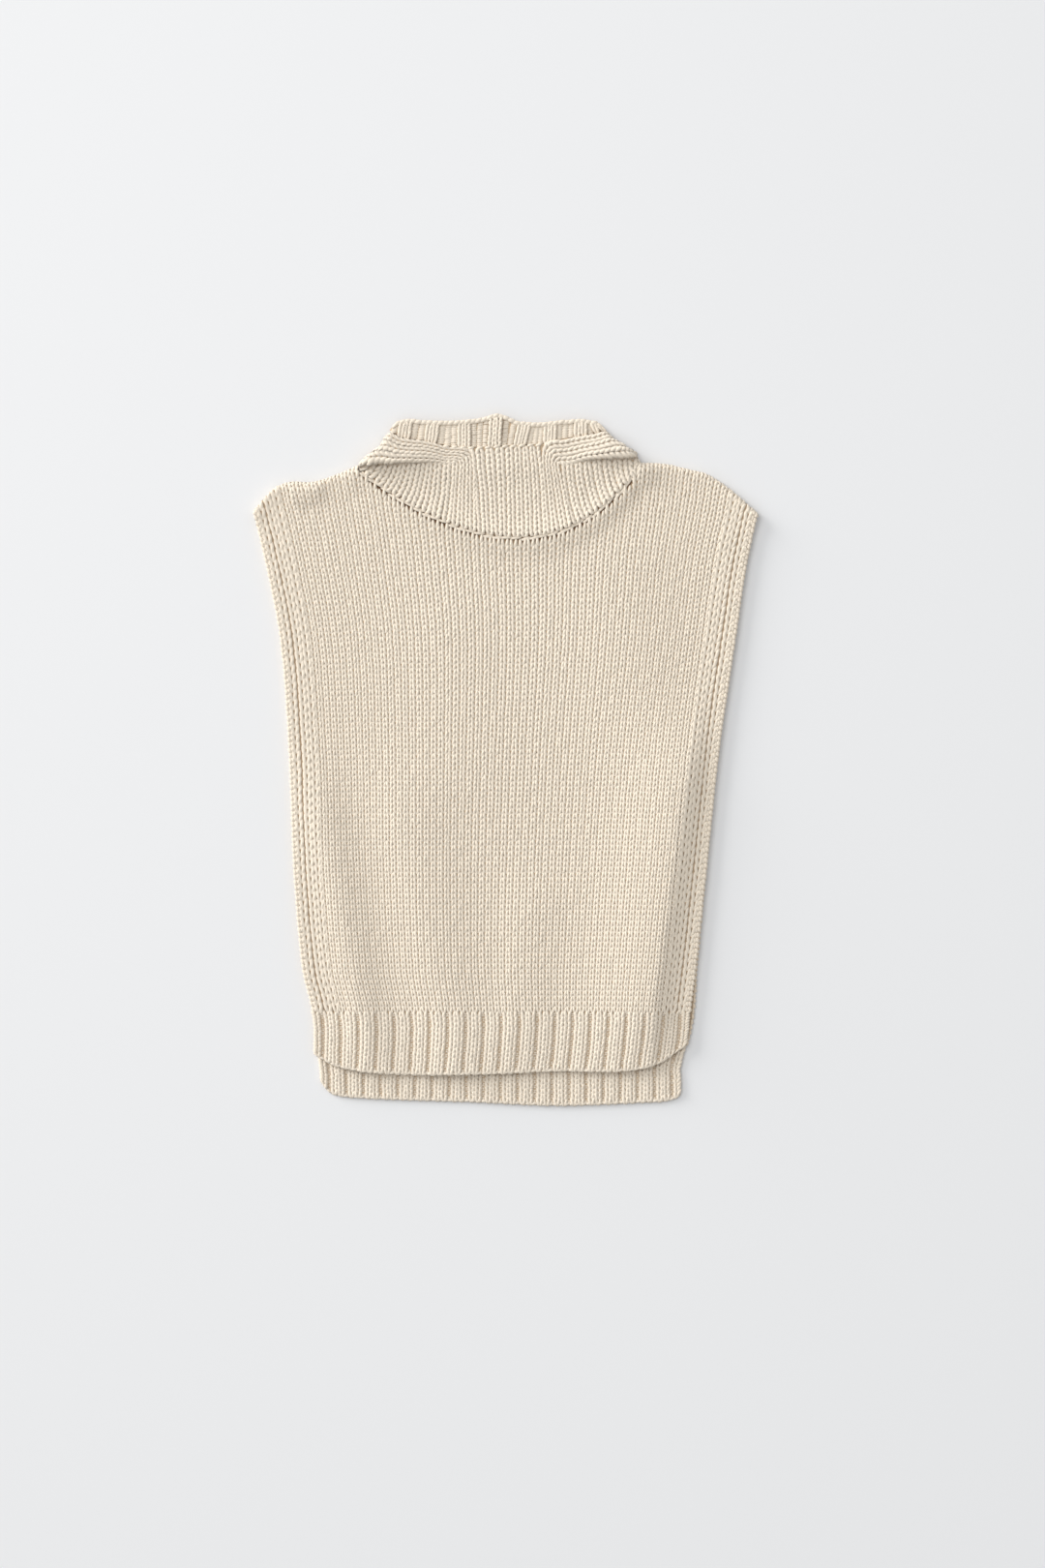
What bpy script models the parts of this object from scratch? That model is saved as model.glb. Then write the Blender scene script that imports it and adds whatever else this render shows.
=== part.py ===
"""Sleeveless knitted poncho laid flat: a front over a back, ribbed hems, side bands and a funnel collar.

Metres in the file, +Z up, +Y toward the collar, +X to the right as it lies. The sizes below are in
millimetres. Every piece is a grid laid on the cloth's inner face, which is then extruded by its thickness.
"""
import math
from collections import namedtuple

import bmesh
import bpy
from mathutils import Vector

MM = 0.001
CLOTH = 3.5             # thickness of the knitted wall
SEAM_GAP = 0.3          # clearance between two pieces at a seam
BAND_SEAM = 0.45        # the same clearance beside a band, whose outline is eased
NECK_SEAM = 0.5         # and measured up the slanting neckline
BAND_WIDTH = 21.0       # knitted band down each open side
SHOULDER_TURN = 14.0    # how far the front turns under at the shoulder, to its seam with the back
ROLL_STEPS = 4          # facets round each rolled edge
SLOPE_STEP = 0.5        # spacing over which a surface's slope is taken
SHARE_STEP = 0.05       # and a share of the way up the collar's side
SETTLE_ROUNDS = 12      # repeats that bring a slanting column to the outline it ends on
ECRU = (0.737, 0.645, 0.539, 1.0)
MATT = 0.95
SMOOTH_ANGLE = 50       # degrees; sharper edges of the cloth stay crisp

Edge = namedtuple("Edge", "height left right")
FRONT_EDGES = (
    Edge(290.0, -251.0, 249.0),
    Edge(240.0, -240.0, 240.0),
    Edge(190.0, -228.0, 229.0),
    Edge(115.0, -213.5, 217.5),
    Edge(5.0, -205.0, 201.5),
    Edge(-105.0, -200.5, 190.0),
    Edge(-198.0, -192.5, 180.0),
    Edge(-234.0, -184.0, 175.5),
    Edge(-255.0, -181.0, 174.0),
    Edge(-300.0, -182.0, 168.0),
)
BACK_EDGES = FRONT_EDGES[:5] + (
    Edge(-105.0, -199.0, 190.0),
    Edge(-198.0, -191.0, 181.5),
    Edge(-252.0, -179.5, 177.0),
    Edge(-295.0, -175.5, 166.0),
    Edge(-314.0, -172.5, 171.0),
    Edge(-328.0, -160.0, 164.0),
)

Shoulder = namedtuple("Shoulder", "x height")
LEFT_SHOULDER = (
    Shoulder(-241.0, 235.0),
    Shoulder(-222.0, 256.5),
    Shoulder(-206.0, 264.5),
    Shoulder(-184.0, 264.5),
    Shoulder(-162.0, 271.0),
    Shoulder(-139.0, 280.5),
)
RIGHT_SHOULDER = (
    Shoulder(127.6, 282.5),
    Shoulder(150.0, 282.0),
    Shoulder(177.0, 276.0),
    Shoulder(192.0, 272.0),
    Shoulder(213.0, 258.5),
    Shoulder(240.0, 235.0),
)

NECK_LOW_X = 10.0       # the scooped neckline's lowest point
NECK_LOW_Y = 209.5
NECK_RISE = 64.0        # from there up to the neck points
NECK_LEFT = -138.4      # neck points, where shoulder, neckline and collar meet
NECK_RIGHT = 127.2
NECK_LEFT_POWER = 1.85  # how squarely each half of the scoop turns up
NECK_RIGHT_POWER = 2.3
BACK_NECK_Y = 257.0     # the back neckline, a shallow dip
BACK_NECK_RISE = 10.0

HEM_RIB = 54.0          # height of both ribbed hems
RIB_REPEATS = 21        # two raised wales and one sunk wale in each
RIB_PHASES = (0.0, 0.14, 0.33, 0.52, 0.66)     # groove floor, up, crest, crest edge, back down
RIB_HEIGHTS = (0.0, 0.85, 1.0, 0.85, 0.0)
RIB_FLOOR = 0.6         # share of the cloth's thickness left in a groove

Hem = namedtuple("Hem", "x height")
FRONT_HEM = (
    Hem(-182.0, -279.0),
    Hem(-160.0, -291.0),
    Hem(-110.0, -298.0),
    Hem(-30.0, -298.5),
    Hem(50.0, -295.5),
    Hem(110.0, -295.5),
    Hem(145.0, -288.5),
    Hem(172.0, -271.0),
)
BACK_HEM = (
    Hem(-175.0, -306.0),
    Hem(-166.0, -316.5),
    Hem(-140.0, -321.0),
    Hem(-30.0, -325.0),
    Hem(50.0, -328.4),
    Hem(130.0, -325.5),
    Hem(160.0, -322.5),
    Hem(172.0, -313.5),
)
FRONT_RIB_TOP = -239.0
BACK_RIB_TOP = -271.0

# Soft folds in the front: a ridge from one point to another, its reach to each side, and its height.
Fold = namedtuple("Fold", "x0 y0 x1 y1 left right height")
FRONT_FOLDS = (
    Fold(167.0, -30.0, 139.0, -222.0, 52.0, 15.0, 10.0),
    Fold(-172.0, -60.0, -136.0, -246.0, 18.0, 20.0, 4.5),
    Fold(-92.0, -70.0, -52.0, -262.0, 28.0, 40.0, 4.5),
    Fold(20.0, -150.0, 8.0, -262.0, 22.0, 30.0, 2.5),
    Fold(-60.0, 120.0, -52.0, -10.0, 60.0, 50.0, 1.6),
    Fold(110.0, 180.0, 122.0, 40.0, 50.0, 45.0, 2.0),
    Fold(-200.0, 250.0, -180.0, 256.0, 10.0, 10.0, 2.4),
)
FOLD_TAPER = 0.3        # share of its length over which a fold dies away past each end
NECK_RIDGE = 4.0        # the picked-up seam stands proud of the panel
NECK_RIDGE_REACH = 15.0
SHOULDER_LIFT = 1.8     # the cloth swells where it rolls over the shoulder
SHOULDER_LIFT_REACH = 26.0

# The collar's rolled sides, seen along the inner face of the cloth, from the neckline (0) to the top (1).
Side = namedtuple("Side", "share left_x left_y right_x right_y")
COLLAR_SIDES = (
    Side(0.0, -135.2, 272.5, 124.0, 272.5),
    Side(0.25, -132.0, 281.0, 121.5, 281.5),
    Side(1.0, -110.5, 299.5, 105.8, 298.5),
)
RIDGE_Y = 296.0         # top of the front wall: a turning ridge, lifting toward the sides
RIDGE_END_LIFT = 7.5
RIDGE_LEVEL = 0.3       # share of each half that stays level
RIDGE_RISE = 0.55       # share over which it then lifts
COLLAR_TOP_Y = 316.5    # top of the back wall
COLLAR_END_SLOPE = 0.7  # how it rises from its sides
STRIP_EDGES = (         # the ribbed strip inside the back of the neck, leaning in toward its top
    Edge(321.0, -100.5, 90.0),
    Edge(302.0, -112.0, 107.0),
)
STRIP_TOP_Y = 321.5
STRIP_REPEATS = 7       # two by two rib
STRIP_SCALLOP = 2.0
STRIP_BUMP_X = -7.5     # the round's join, which stands above the rest
STRIP_BUMP = 8.0
STRIP_BUMP_REACH = 9.0

# The tuck in each side of the collar: the upper layer stands over the lower along a nearly level crease.
Tuck = namedtuple("Tuck", "side_x apex_x side_y apex_y height")
TUCKS = (
    Tuck(-134.0, -44.0, 280.5, 281.0, 8.0),
    Tuck(123.0, 52.0, 286.5, 281.0, 8.0),
)
TUCK_STEP = 4.0         # run of the step at the crease
TUCK_SPREAD = 1.4       # how soon, from its apex, a tuck reaches its full height
TUCK_FALL = 0.6         # share of the height that it loses toward the collar's top

SHOULDER_COLUMNS = (6, 8)       # left, right
NECK_COLUMNS = 16               # shared by the panels and the collar, so that their seams match
PANEL_ROWS = 22
BAND_COLUMNS = 2
HEM_ROWS = 3
NECK_CROWDING = 0.6
COLLAR_ROWS = 12
BACK_ROWS = 10
STRIP_ROWS = 2


def smooth_value(rows, at, field=1):
    """Value of one column of a table at a place along its first column, eased through the rows."""
    rows = sorted(rows)
    keys = [row[0] for row in rows]
    values = [row[field] for row in rows]
    last = len(rows) - 1
    if at <= keys[0]:
        return values[0] + (at - keys[0]) * (values[1] - values[0]) / (keys[1] - keys[0])
    if at >= keys[last]:
        end_slope = (values[last] - values[last - 1]) / (keys[last] - keys[last - 1])
        return values[last] + (at - keys[last]) * end_slope
    after = next(index for index, key in enumerate(keys) if key > at)
    before = after - 1

    def slope(index):
        low = max(index - 1, 0)
        high = min(index + 1, last)
        return (values[high] - values[low]) / (keys[high] - keys[low])

    span = keys[after] - keys[before]
    t = (at - keys[before]) / span
    start = values[before] * (1 + 2 * t) * (1 - t) ** 2 + slope(before) * span * t * (1 - t) ** 2
    end = values[after] * (3 - 2 * t) * t * t + slope(after) * span * t * t * (t - 1)
    return start + end


def mix(start, end, share):
    """Straight blend of two values."""
    return start + (end - start) * share


def ease(share):
    """A smooth step from 0 to 1."""
    share = min(max(share, 0.0), 1.0)
    return share * share * (3 - 2 * share)


def bell(distance, reach):
    """A soft bump, 1 at no distance and close to 0 at twice its reach."""
    return math.exp(-((distance / reach) ** 2))


def shoulder_height(x):
    """Outline of the shoulders, over the roll, and level with the nearer neck point between them."""
    if x < NECK_LOW_X:
        return smooth_value(LEFT_SHOULDER, min(x, LEFT_SHOULDER[-1].x))
    return smooth_value(RIGHT_SHOULDER, max(x, RIGHT_SHOULDER[0].x))


def neckline(x):
    """The front neckline: a scoop with its own curve on each side."""
    left = x < NECK_LOW_X
    half = NECK_LOW_X - NECK_LEFT if left else NECK_RIGHT - NECK_LOW_X
    power = NECK_LEFT_POWER if left else NECK_RIGHT_POWER
    return NECK_LOW_Y + NECK_RISE * (abs(x - NECK_LOW_X) / half) ** power


def back_neckline(x):
    """The back neckline: a shallow dip between the same neck points."""
    middle = (NECK_LEFT + NECK_RIGHT) / 2
    half = (NECK_RIGHT - NECK_LEFT) / 2
    return BACK_NECK_Y + BACK_NECK_RISE * ((x - middle) / half) ** 2


def ridge_line(x):
    """Top of the collar's front wall, level in the middle and lifting toward its ends."""
    half = (NECK_RIGHT - NECK_LEFT) / 2
    middle = (NECK_LEFT + NECK_RIGHT) / 2
    return RIDGE_Y + RIDGE_END_LIFT * ease((abs(x - middle) / half - RIDGE_LEVEL) / RIDGE_RISE)


def fold_lift(fold, x, y):
    """Height of one soft fold at a point, tapering past both of its ends."""
    run_x = fold.x1 - fold.x0
    run_y = fold.y1 - fold.y0
    length = math.hypot(run_x, run_y)
    along = ((x - fold.x0) * run_x + (y - fold.y0) * run_y) / length
    across = ((y - fold.y0) * run_x - (x - fold.x0) * run_y) / length
    reach = fold.right if across > 0 else fold.left
    past_end = max(-along, along - length, 0.0)
    return fold.height * bell(across, reach) * bell(past_end, length * FOLD_TAPER)


def front_lift(x, y):
    """How far the front's underside stands above the back at a point."""
    lift = sum(fold_lift(fold, x, y) for fold in FRONT_FOLDS)
    seam_x = min(max(x, NECK_LEFT), NECK_RIGHT)
    lift += NECK_RIDGE * bell(math.hypot(x - seam_x, y - neckline(seam_x)), NECK_RIDGE_REACH)
    return lift + SHOULDER_LIFT * ease(1 - (shoulder_height(x) - y) / SHOULDER_LIFT_REACH)


def surface(x, y):
    """Underside of the back, flat where it rests."""
    return 0.0


def front_under(x, y):
    """Underside of the front, over the back's cloth and its clearance."""
    return CLOTH + SEAM_GAP + front_lift(x, y)


def tuck_lift(x, y):
    """How far the collar's tucked sides stand up past their crease."""
    lift = 0.0
    for tuck in TUCKS:
        share = (x - tuck.apex_x) / (tuck.side_x - tuck.apex_x)
        if share > 0:
            crease = mix(tuck.apex_y, tuck.side_y, share)
            step = ease((y - crease) / TUCK_STEP + 0.5)
            falling = 1 - TUCK_FALL * ease((y - crease) / (RIDGE_Y + RIDGE_END_LIFT - crease))
            lift += tuck.height * ease(share * TUCK_SPREAD) * step * falling
    return lift


def settle(height_at, across, start):
    """Height at which a column, x = across(y), meets an outline, y = height_at(x)."""
    y = start
    for _ in range(SETTLE_ROUNDS):
        y = height_at(across(y))
    return y


def column_between(edges, share):
    """A column of the body: x at each height, at a share of the way between the two bands."""
    def across(y):
        left = smooth_value(edges, y, 1) + BAND_WIDTH + SEAM_GAP / 2
        right = smooth_value(edges, y, 2) - BAND_WIDTH - SEAM_GAP / 2
        return mix(left, right, share)
    return across


def column_in_band(edges, side, share):
    """A column of a side band: x at each height, from the open edge (0) in to its seam (1)."""
    def across(y):
        edge = smooth_value(edges, y, 1 if side < 0 else 2)
        return edge - side * share * (BAND_WIDTH - BAND_SEAM)
    return across


def wall(x, y, under, share=1.0):
    """Inner and outer point of the cloth over one place on its underside."""
    slope_x = (under(x + SLOPE_STEP, y) - under(x - SLOPE_STEP, y)) / (2 * SLOPE_STEP)
    slope_y = (under(x, y + SLOPE_STEP) - under(x, y - SLOPE_STEP)) / (2 * SLOPE_STEP)
    inner = Vector((x, y, under(x, y)))
    return inner, inner + Vector((-slope_x, -slope_y, 1.0)).normalized() * CLOTH * share


def rolled(edge_x, edge_y, radius, outward):
    """Pairs of inner and outer points round a rolled edge, from above it down to the layer below."""
    pairs = []
    for step in range(1, ROLL_STEPS + 1):
        angle = math.pi * (0.5 - step / ROLL_STEPS)
        lean = outward * math.cos(angle) + Vector((0.0, 0.0, math.sin(angle)))
        centre = Vector((edge_x, edge_y, CLOTH + radius)) - outward * radius
        pairs.append((centre + lean * radius, centre + lean * (radius + CLOTH)))
    return pairs


def shoulder_column(across, bottom):
    """A front column from the hem, over the shoulder and under to its seam."""
    top = settle(shoulder_height, across, BACK_NECK_Y)
    radius = (front_under(across(top), top - CLOTH) - CLOTH) / 2
    turn = top - CLOTH - radius
    heights = [mix(bottom, turn, row / PANEL_ROWS) for row in range(PANEL_ROWS + 1)]
    pairs = [wall(across(y), y, front_under) for y in heights]
    pairs += rolled(across(top), top - CLOTH, radius, Vector((0.0, 1.0, 0.0)))
    seam = Vector((across(top - SHOULDER_TURN), top - SHOULDER_TURN, CLOTH))
    pairs.append((seam, seam - Vector((0.0, 0.0, CLOTH))))
    return pairs


def knit_material(name):
    """The yarn's ecru, matt."""
    material = bpy.data.materials.new(name)
    material.use_nodes = True
    shader = material.node_tree.nodes["Principled BSDF"]
    shader.inputs["Base Color"].default_value = ECRU
    shader.inputs["Roughness"].default_value = MATT
    shader.inputs["Metallic"].default_value = 0.0
    material.diffuse_color = ECRU
    return material


def cloth_piece(name, columns, collection, ring=False):
    """One piece of cloth from columns of inner and outer points, in millimetres.

    Columns may be shorter than the longest. A ring's last column is its first again, and is welded to it.
    """
    rows = max(len(column) for column in columns)
    shape = bmesh.new()
    bmesh.ops.create_grid(shape, x_segments=len(columns) - 1, y_segments=rows - 1, size=1.0)
    place = shape.verts.layers.int.new("place")
    for vertex in shape.verts:
        vertex[place] = vertex.index
    unused = [v for v in shape.verts if v.index // len(columns) >= len(columns[v.index % len(columns)])]
    bmesh.ops.delete(shape, geom=unused, context="VERTS")
    lifted = bmesh.ops.extrude_face_region(shape, geom=shape.faces[:], use_keep_orig=True)["geom"]
    outer = {element for element in lifted if isinstance(element, bmesh.types.BMVert)}
    for vertex in shape.verts:
        row, column = divmod(vertex[place], len(columns))
        vertex.co = columns[column][row][1 if vertex in outer else 0] * MM
    if ring:
        walls = [face for face in shape.faces if len({v[place] % len(columns) for v in face.verts}) == 1]
        seam = [face for face in walls if face.verts[0][place] % len(columns) in (0, len(columns) - 1)]
        bmesh.ops.delete(shape, geom=seam, context="FACES_ONLY")
        bmesh.ops.remove_doubles(shape, verts=shape.verts, dist=0.01 * MM)
    bmesh.ops.recalc_face_normals(shape, faces=shape.faces)
    mesh = bpy.data.meshes.new(name)
    shape.to_mesh(mesh)
    shape.free()
    mesh.shade_smooth()
    mesh.set_sharp_from_angle(angle=math.radians(SMOOTH_ANGLE))
    mesh.materials.append(knit_material(name))
    piece = bpy.data.objects.new(name, mesh)
    collection.objects.link(piece)
    return piece


def neck_part(step):
    """Part of the neck's width at one of its columns, which crowd toward both neck points."""
    even = step / NECK_COLUMNS
    return mix(even, (1 - math.cos(math.pi * even)) / 2, NECK_CROWDING)


def panel_shares():
    """Shares across the body of the columns of the left shoulder, the neck and the right shoulder."""
    level = NECK_LOW_Y + NECK_RISE
    left = column_between(FRONT_EDGES, 0.0)(level)
    right = column_between(FRONT_EDGES, 1.0)(level)
    places = (LEFT_SHOULDER[-1].x, NECK_LEFT, NECK_RIGHT, RIGHT_SHOULDER[0].x)
    bounds = [(x - left) / (right - left) for x in places]
    left_steps, right_steps = (range(count + 1) for count in SHOULDER_COLUMNS)
    return (
        [mix(0.0, bounds[0], step / SHOULDER_COLUMNS[0]) for step in left_steps],
        [mix(bounds[1], bounds[2], neck_part(step)) for step in range(NECK_COLUMNS + 1)],
        [mix(bounds[3], 1.0, step / SHOULDER_COLUMNS[1]) for step in right_steps],
    )


def neck_column(across, bottom):
    """A front column from the hem to the neckline."""
    end = settle(neckline, across, NECK_LOW_Y) - NECK_SEAM
    heights = [mix(bottom, end, row / PANEL_ROWS) for row in range(PANEL_ROWS + 1)]
    return [wall(across(y), y, front_under) for y in heights]


def front_panel(collection):
    """The front between its bands, from the ribbed hem to the neckline and over both shoulders."""
    left, neck, right = panel_shares()
    columns = []
    for shares, make in ((left, shoulder_column), (neck, neck_column), (right, shoulder_column)):
        for share in shares:
            columns.append(make(column_between(FRONT_EDGES, share), FRONT_RIB_TOP))
    return cloth_piece("front_panel", columns, collection)


def flat_column(across, end):
    """A column of the back, which lies on the surface, from the hem to its end."""
    heights = [mix(BACK_RIB_TOP, end, row / BACK_ROWS) for row in range(BACK_ROWS + 1)]
    return [wall(across(y), y, surface) for y in heights]


def back_shoulder_column(across):
    """A column of the back that ends at its seam, under the turned shoulder."""
    return flat_column(across, settle(shoulder_height, across, BACK_NECK_Y) - SHOULDER_TURN - SEAM_GAP)


def back_neck_column(across):
    """A column of the back that ends at the back neckline."""
    return flat_column(across, settle(back_neckline, across, BACK_NECK_Y) - NECK_SEAM)


def back_panel(collection):
    """The back between its bands, flat on the surface."""
    left, neck, right = panel_shares()
    columns = [back_shoulder_column(column_between(BACK_EDGES, share)) for share in left]
    columns += [back_neck_column(column_between(BACK_EDGES, share)) for share in neck]
    columns += [back_shoulder_column(column_between(BACK_EDGES, share)) for share in right]
    return cloth_piece("back_panel", columns, collection)


def side_bands(collection):
    """The four knitted bands down the open sides."""
    for name, side in (("left", -1), ("right", 1)):
        shares = [step / BAND_COLUMNS for step in range(BAND_COLUMNS + 1)]
        if side > 0:
            shares.reverse()
        front = []
        back = []
        for share in shares:
            across = column_in_band(FRONT_EDGES, side, share)
            front.append(shoulder_column(across, FRONT_RIB_TOP))
            back.append(back_shoulder_column(column_in_band(BACK_EDGES, side, share)))
        cloth_piece("front_band_" + name, front, collection)
        cloth_piece("back_band_" + name, back, collection)


def rib_steps(repeats):
    """(share across, share of full thickness) of every column of a rib, starting and ending on a crest."""
    crest = RIB_PHASES[2]
    steps = [(0.0, 1.0)]
    for repeat in range(repeats + 1):
        for phase, height in zip(RIB_PHASES, RIB_HEIGHTS):
            share = (repeat + phase - crest) / repeats
            if 0.0 < share < 1.0:
                steps.append((share, mix(RIB_FLOOR, 1.0, height)))
    steps.append((1.0, 1.0))
    return steps


def hem_rib(name, edges, hem, rib_top, under, collection):
    """A ribbed hem across the whole width, bands and all, with its lower corners rounded."""
    columns = []
    for share, height in rib_steps(RIB_REPEATS):
        def across(y, share=share):
            return mix(smooth_value(edges, y, 1), smooth_value(edges, y, 2), share)
        bottom = settle(lambda x: smooth_value(hem, x), across, rib_top - HEM_RIB)
        heights = [mix(bottom, rib_top - SEAM_GAP, row / HEM_ROWS) for row in range(HEM_ROWS + 1)]
        columns.append([wall(across(y), y, under, height) for y in heights])
    return cloth_piece(name, columns, collection)


def side_point(share, side):
    """Where the collar's inner face turns at its left (-1) or right (+1) side."""
    fields = (1, 2) if side < 0 else (3, 4)
    return tuple(smooth_value(COLLAR_SIDES, share, field) for field in fields)


def side_outward(share, side):
    """The level direction that points out of the collar's side."""
    near = Vector(side_point(max(share - SHARE_STEP, 0.0), side))
    far = Vector(side_point(min(share + SHARE_STEP, 1.0), side))
    run = (far - near).normalized()
    return Vector((side * run.y, -side * run.x, 0.0))


def collar_wall(share, outline, head, radii):
    """(x, y) across one wall of the collar, left to right, from its seam (0) to its head (1)."""
    points = []
    for step, neck_share in enumerate(panel_shares()[1]):
        across = column_between(FRONT_EDGES, neck_share)
        seam_y = settle(outline, across, BACK_NECK_Y)
        head_x = mix(COLLAR_SIDES[-1].left_x, COLLAR_SIDES[-1].right_x, neck_part(step))
        points.append((mix(across(seam_y), head_x, share), mix(seam_y, head(head_x), share)))
    for side, end in ((-1, 0), (1, -1)):
        edge = Vector(side_point(share, side) + (0.0,))
        points[end] = (edge - side_outward(share, side) * radii[side])[:2]
    return points


def collar_back_head(x):
    """Top of the collar's back wall, sloping up from its sides."""
    end = COLLAR_SIDES[-1]
    from_side = min(x - end.left_x, end.right_x - x)
    return min(end.left_y + COLLAR_END_SLOPE * from_side, COLLAR_TOP_Y)


def collar_under(x, y):
    """Underside of the collar's front wall."""
    return front_under(x, y) + tuck_lift(x, y)


def collar_ring(share):
    """One round of the collar's cloth: front wall, right side, back wall, left side."""
    radii = {}
    rolls = {}
    for side in (-1, 1):
        x, y = side_point(share, side)
        radii[side] = (collar_under(x, y) - CLOTH) / 2
        rolls[side] = rolled(x, y, radii[side], side_outward(share, side))
    ring = [wall(x, y, collar_under) for x, y in collar_wall(share, neckline, ridge_line, radii)]
    ring += rolls[1][:-1]
    for x, y in reversed(collar_wall(share, back_neckline, collar_back_head, radii)):
        ring.append((Vector((x, y, CLOTH)), Vector((x, y, 0.0))))
    ring += reversed(rolls[-1][:-1])
    return ring + ring[:1]


def collar(collection):
    """The funnel collar, one tube lying flat: knitted up from the neckline, its front wall tucked."""
    rings = [collar_ring(row / COLLAR_ROWS) for row in range(COLLAR_ROWS + 1)]
    columns = [list(column) for column in zip(*rings)]
    return cloth_piece("collar", columns, collection, ring=True)


def on_back_wall(x, y):
    """Underside of the strip that lies on the collar's back wall."""
    return CLOTH + SEAM_GAP


def collar_rib(collection):
    """The collar's ribbed top, which lies on its back wall and shows above the front wall."""
    columns = []
    for share, height in rib_steps(STRIP_REPEATS):
        def across(y, share=share):
            return mix(smooth_value(STRIP_EDGES, y, 1), smooth_value(STRIP_EDGES, y, 2), share)
        bottom = settle(ridge_line, across, RIDGE_Y) + NECK_SEAM
        x_top = across(STRIP_TOP_Y)
        bump = STRIP_BUMP * bell(x_top - STRIP_BUMP_X, STRIP_BUMP_REACH)
        top = STRIP_TOP_Y + STRIP_SCALLOP * (height - 1) + bump
        heights = [mix(bottom, top, row / STRIP_ROWS) for row in range(STRIP_ROWS + 1)]
        columns.append([wall(across(y), y, on_back_wall, height) for y in heights])
    return cloth_piece("collar_rib", columns, collection)


def make_part():
    """All the pieces, in one collection."""
    collection = bpy.data.collections.new("poncho")
    bpy.context.scene.collection.children.link(collection)
    front_panel(collection)
    back_panel(collection)
    side_bands(collection)
    hem_rib("front_hem_rib", FRONT_EDGES, FRONT_HEM, FRONT_RIB_TOP, front_under, collection)
    hem_rib("back_hem_rib", BACK_EDGES, BACK_HEM, BACK_RIB_TOP, surface, collection)
    collar(collection)
    collar_rib(collection)


for old in list(bpy.data.objects):
    bpy.data.objects.remove(old, do_unlink=True)
make_part()
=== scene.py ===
# A chunky knitted poncho laid flat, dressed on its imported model: each cloth is a thin shell, and its
# stitches are yarn laid on it, wale by wale. Sizes are in millimetres and become metres in the meshes.
import math

import bmesh
import bpy
import numpy as np
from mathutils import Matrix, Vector


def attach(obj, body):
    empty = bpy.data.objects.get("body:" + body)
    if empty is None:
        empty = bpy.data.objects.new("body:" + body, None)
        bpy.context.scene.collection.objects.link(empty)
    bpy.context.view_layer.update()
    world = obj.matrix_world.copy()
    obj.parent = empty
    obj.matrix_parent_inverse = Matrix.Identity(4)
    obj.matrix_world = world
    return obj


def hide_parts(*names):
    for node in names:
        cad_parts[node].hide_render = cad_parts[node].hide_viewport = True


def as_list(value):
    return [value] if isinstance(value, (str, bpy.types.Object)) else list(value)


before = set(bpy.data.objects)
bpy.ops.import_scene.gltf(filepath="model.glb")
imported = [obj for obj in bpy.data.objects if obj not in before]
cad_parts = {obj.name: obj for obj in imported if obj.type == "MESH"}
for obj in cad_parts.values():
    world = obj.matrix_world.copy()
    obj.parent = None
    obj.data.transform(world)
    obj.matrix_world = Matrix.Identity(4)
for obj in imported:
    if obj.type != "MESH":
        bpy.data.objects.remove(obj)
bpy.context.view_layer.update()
print("frame loaded:", ", ".join(sorted(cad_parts)))

mm = 0.001
chance = np.random.default_rng(7)

# how the garment lies, as in the model
cloth = {
    "thickness": 3.5,
    "seamGap": 0.3,
    "neckSeam": 0.5,
    "bandWidth": 21.0,
    "shoulderTurn": 14.0,     # how far the front runs on behind its shoulder edge
    "slopeStep": 0.5,         # the step that slopes are measured over
    "settleRounds": 10,
    "wale": 7.0,              # width and height of one stitch of the body
    "course": 5.06,
}
# height, left and right edge
frontEdges = [
    (290.0, -251.0, 249.0),
    (240.0, -240.0, 240.0),
    (190.0, -228.0, 229.0),
    (115.0, -213.5, 217.5),
    (5.0, -205.0, 201.5),
    (-105.0, -200.5, 190.0),
    (-198.0, -192.5, 180.0),
    (-234.0, -184.0, 175.5),
    (-255.0, -181.0, 174.0),
    (-300.0, -182.0, 168.0),
]
backEdges = frontEdges[:5] + [
    (-105.0, -199.0, 190.0),
    (-198.0, -191.0, 181.5),
    (-252.0, -179.5, 177.0),
    (-295.0, -175.5, 166.0),
    (-314.0, -172.5, 171.0),
    (-328.0, -160.0, 164.0),
]
shoulders = {
    "left": [(-241, 235), (-222, 256.5), (-206, 264.5), (-184, 264.5), (-162, 271), (-139, 280.5)],
    "right": [(127.6, 282.5), (150, 282), (177, 276), (192, 272), (213, 258.5), (240, 235)],
    "lift": 1.8,
    "reach": 26.0,
}
neck = {
    "lowX": 10.0,
    "lowY": 209.5,
    "rise": 64.0,
    "left": -138.4,
    "right": 127.2,
    "leftPower": 1.85,
    "rightPower": 2.3,
    "backY": 257.0,
    "backRise": 10.0,
    "ridge": 4.0,
    "reach": 15.0,
}
hems = {
    "height": 54.0,
    "repeats": 21,
    "frontTop": -239.0,
    "backTop": -271.0,
    "front": [(-182, -279), (-160, -291), (-110, -298), (-30, -298.5), (50, -295.5), (110, -295.5),
              (145, -288.5), (172, -271)],
    "back": [(-175, -306), (-166, -316.5), (-140, -321), (-30, -325), (50, -328.4), (130, -325.5),
             (160, -322.5), (172, -313.5)],
}
foldFade = 0.3      # how soon a fold dies away past its ends, as a share of its length
# start, end, reach to the left and right, height
softFolds = [
    (167, -30, 139, -222, 52, 15, 10.0),
    (-172, -60, -136, -246, 18, 20, 4.5),
    (-92, -70, -52, -262, 28, 40, 4.5),
    (20, -150, 8, -262, 22, 30, 2.5),
    (-60, 120, -52, -10, 60, 50, 1.6),
    (110, 180, 122, 40, 50, 45, 2.0),
    (-200, 250, -180, 256, 10, 10, 2.4),
]


def mix(start, end, share):
    return start + (end - start) * share


def ease(share):
    share = np.clip(share, 0.0, 1.0)
    return share * share * (3 - 2 * share)


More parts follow.
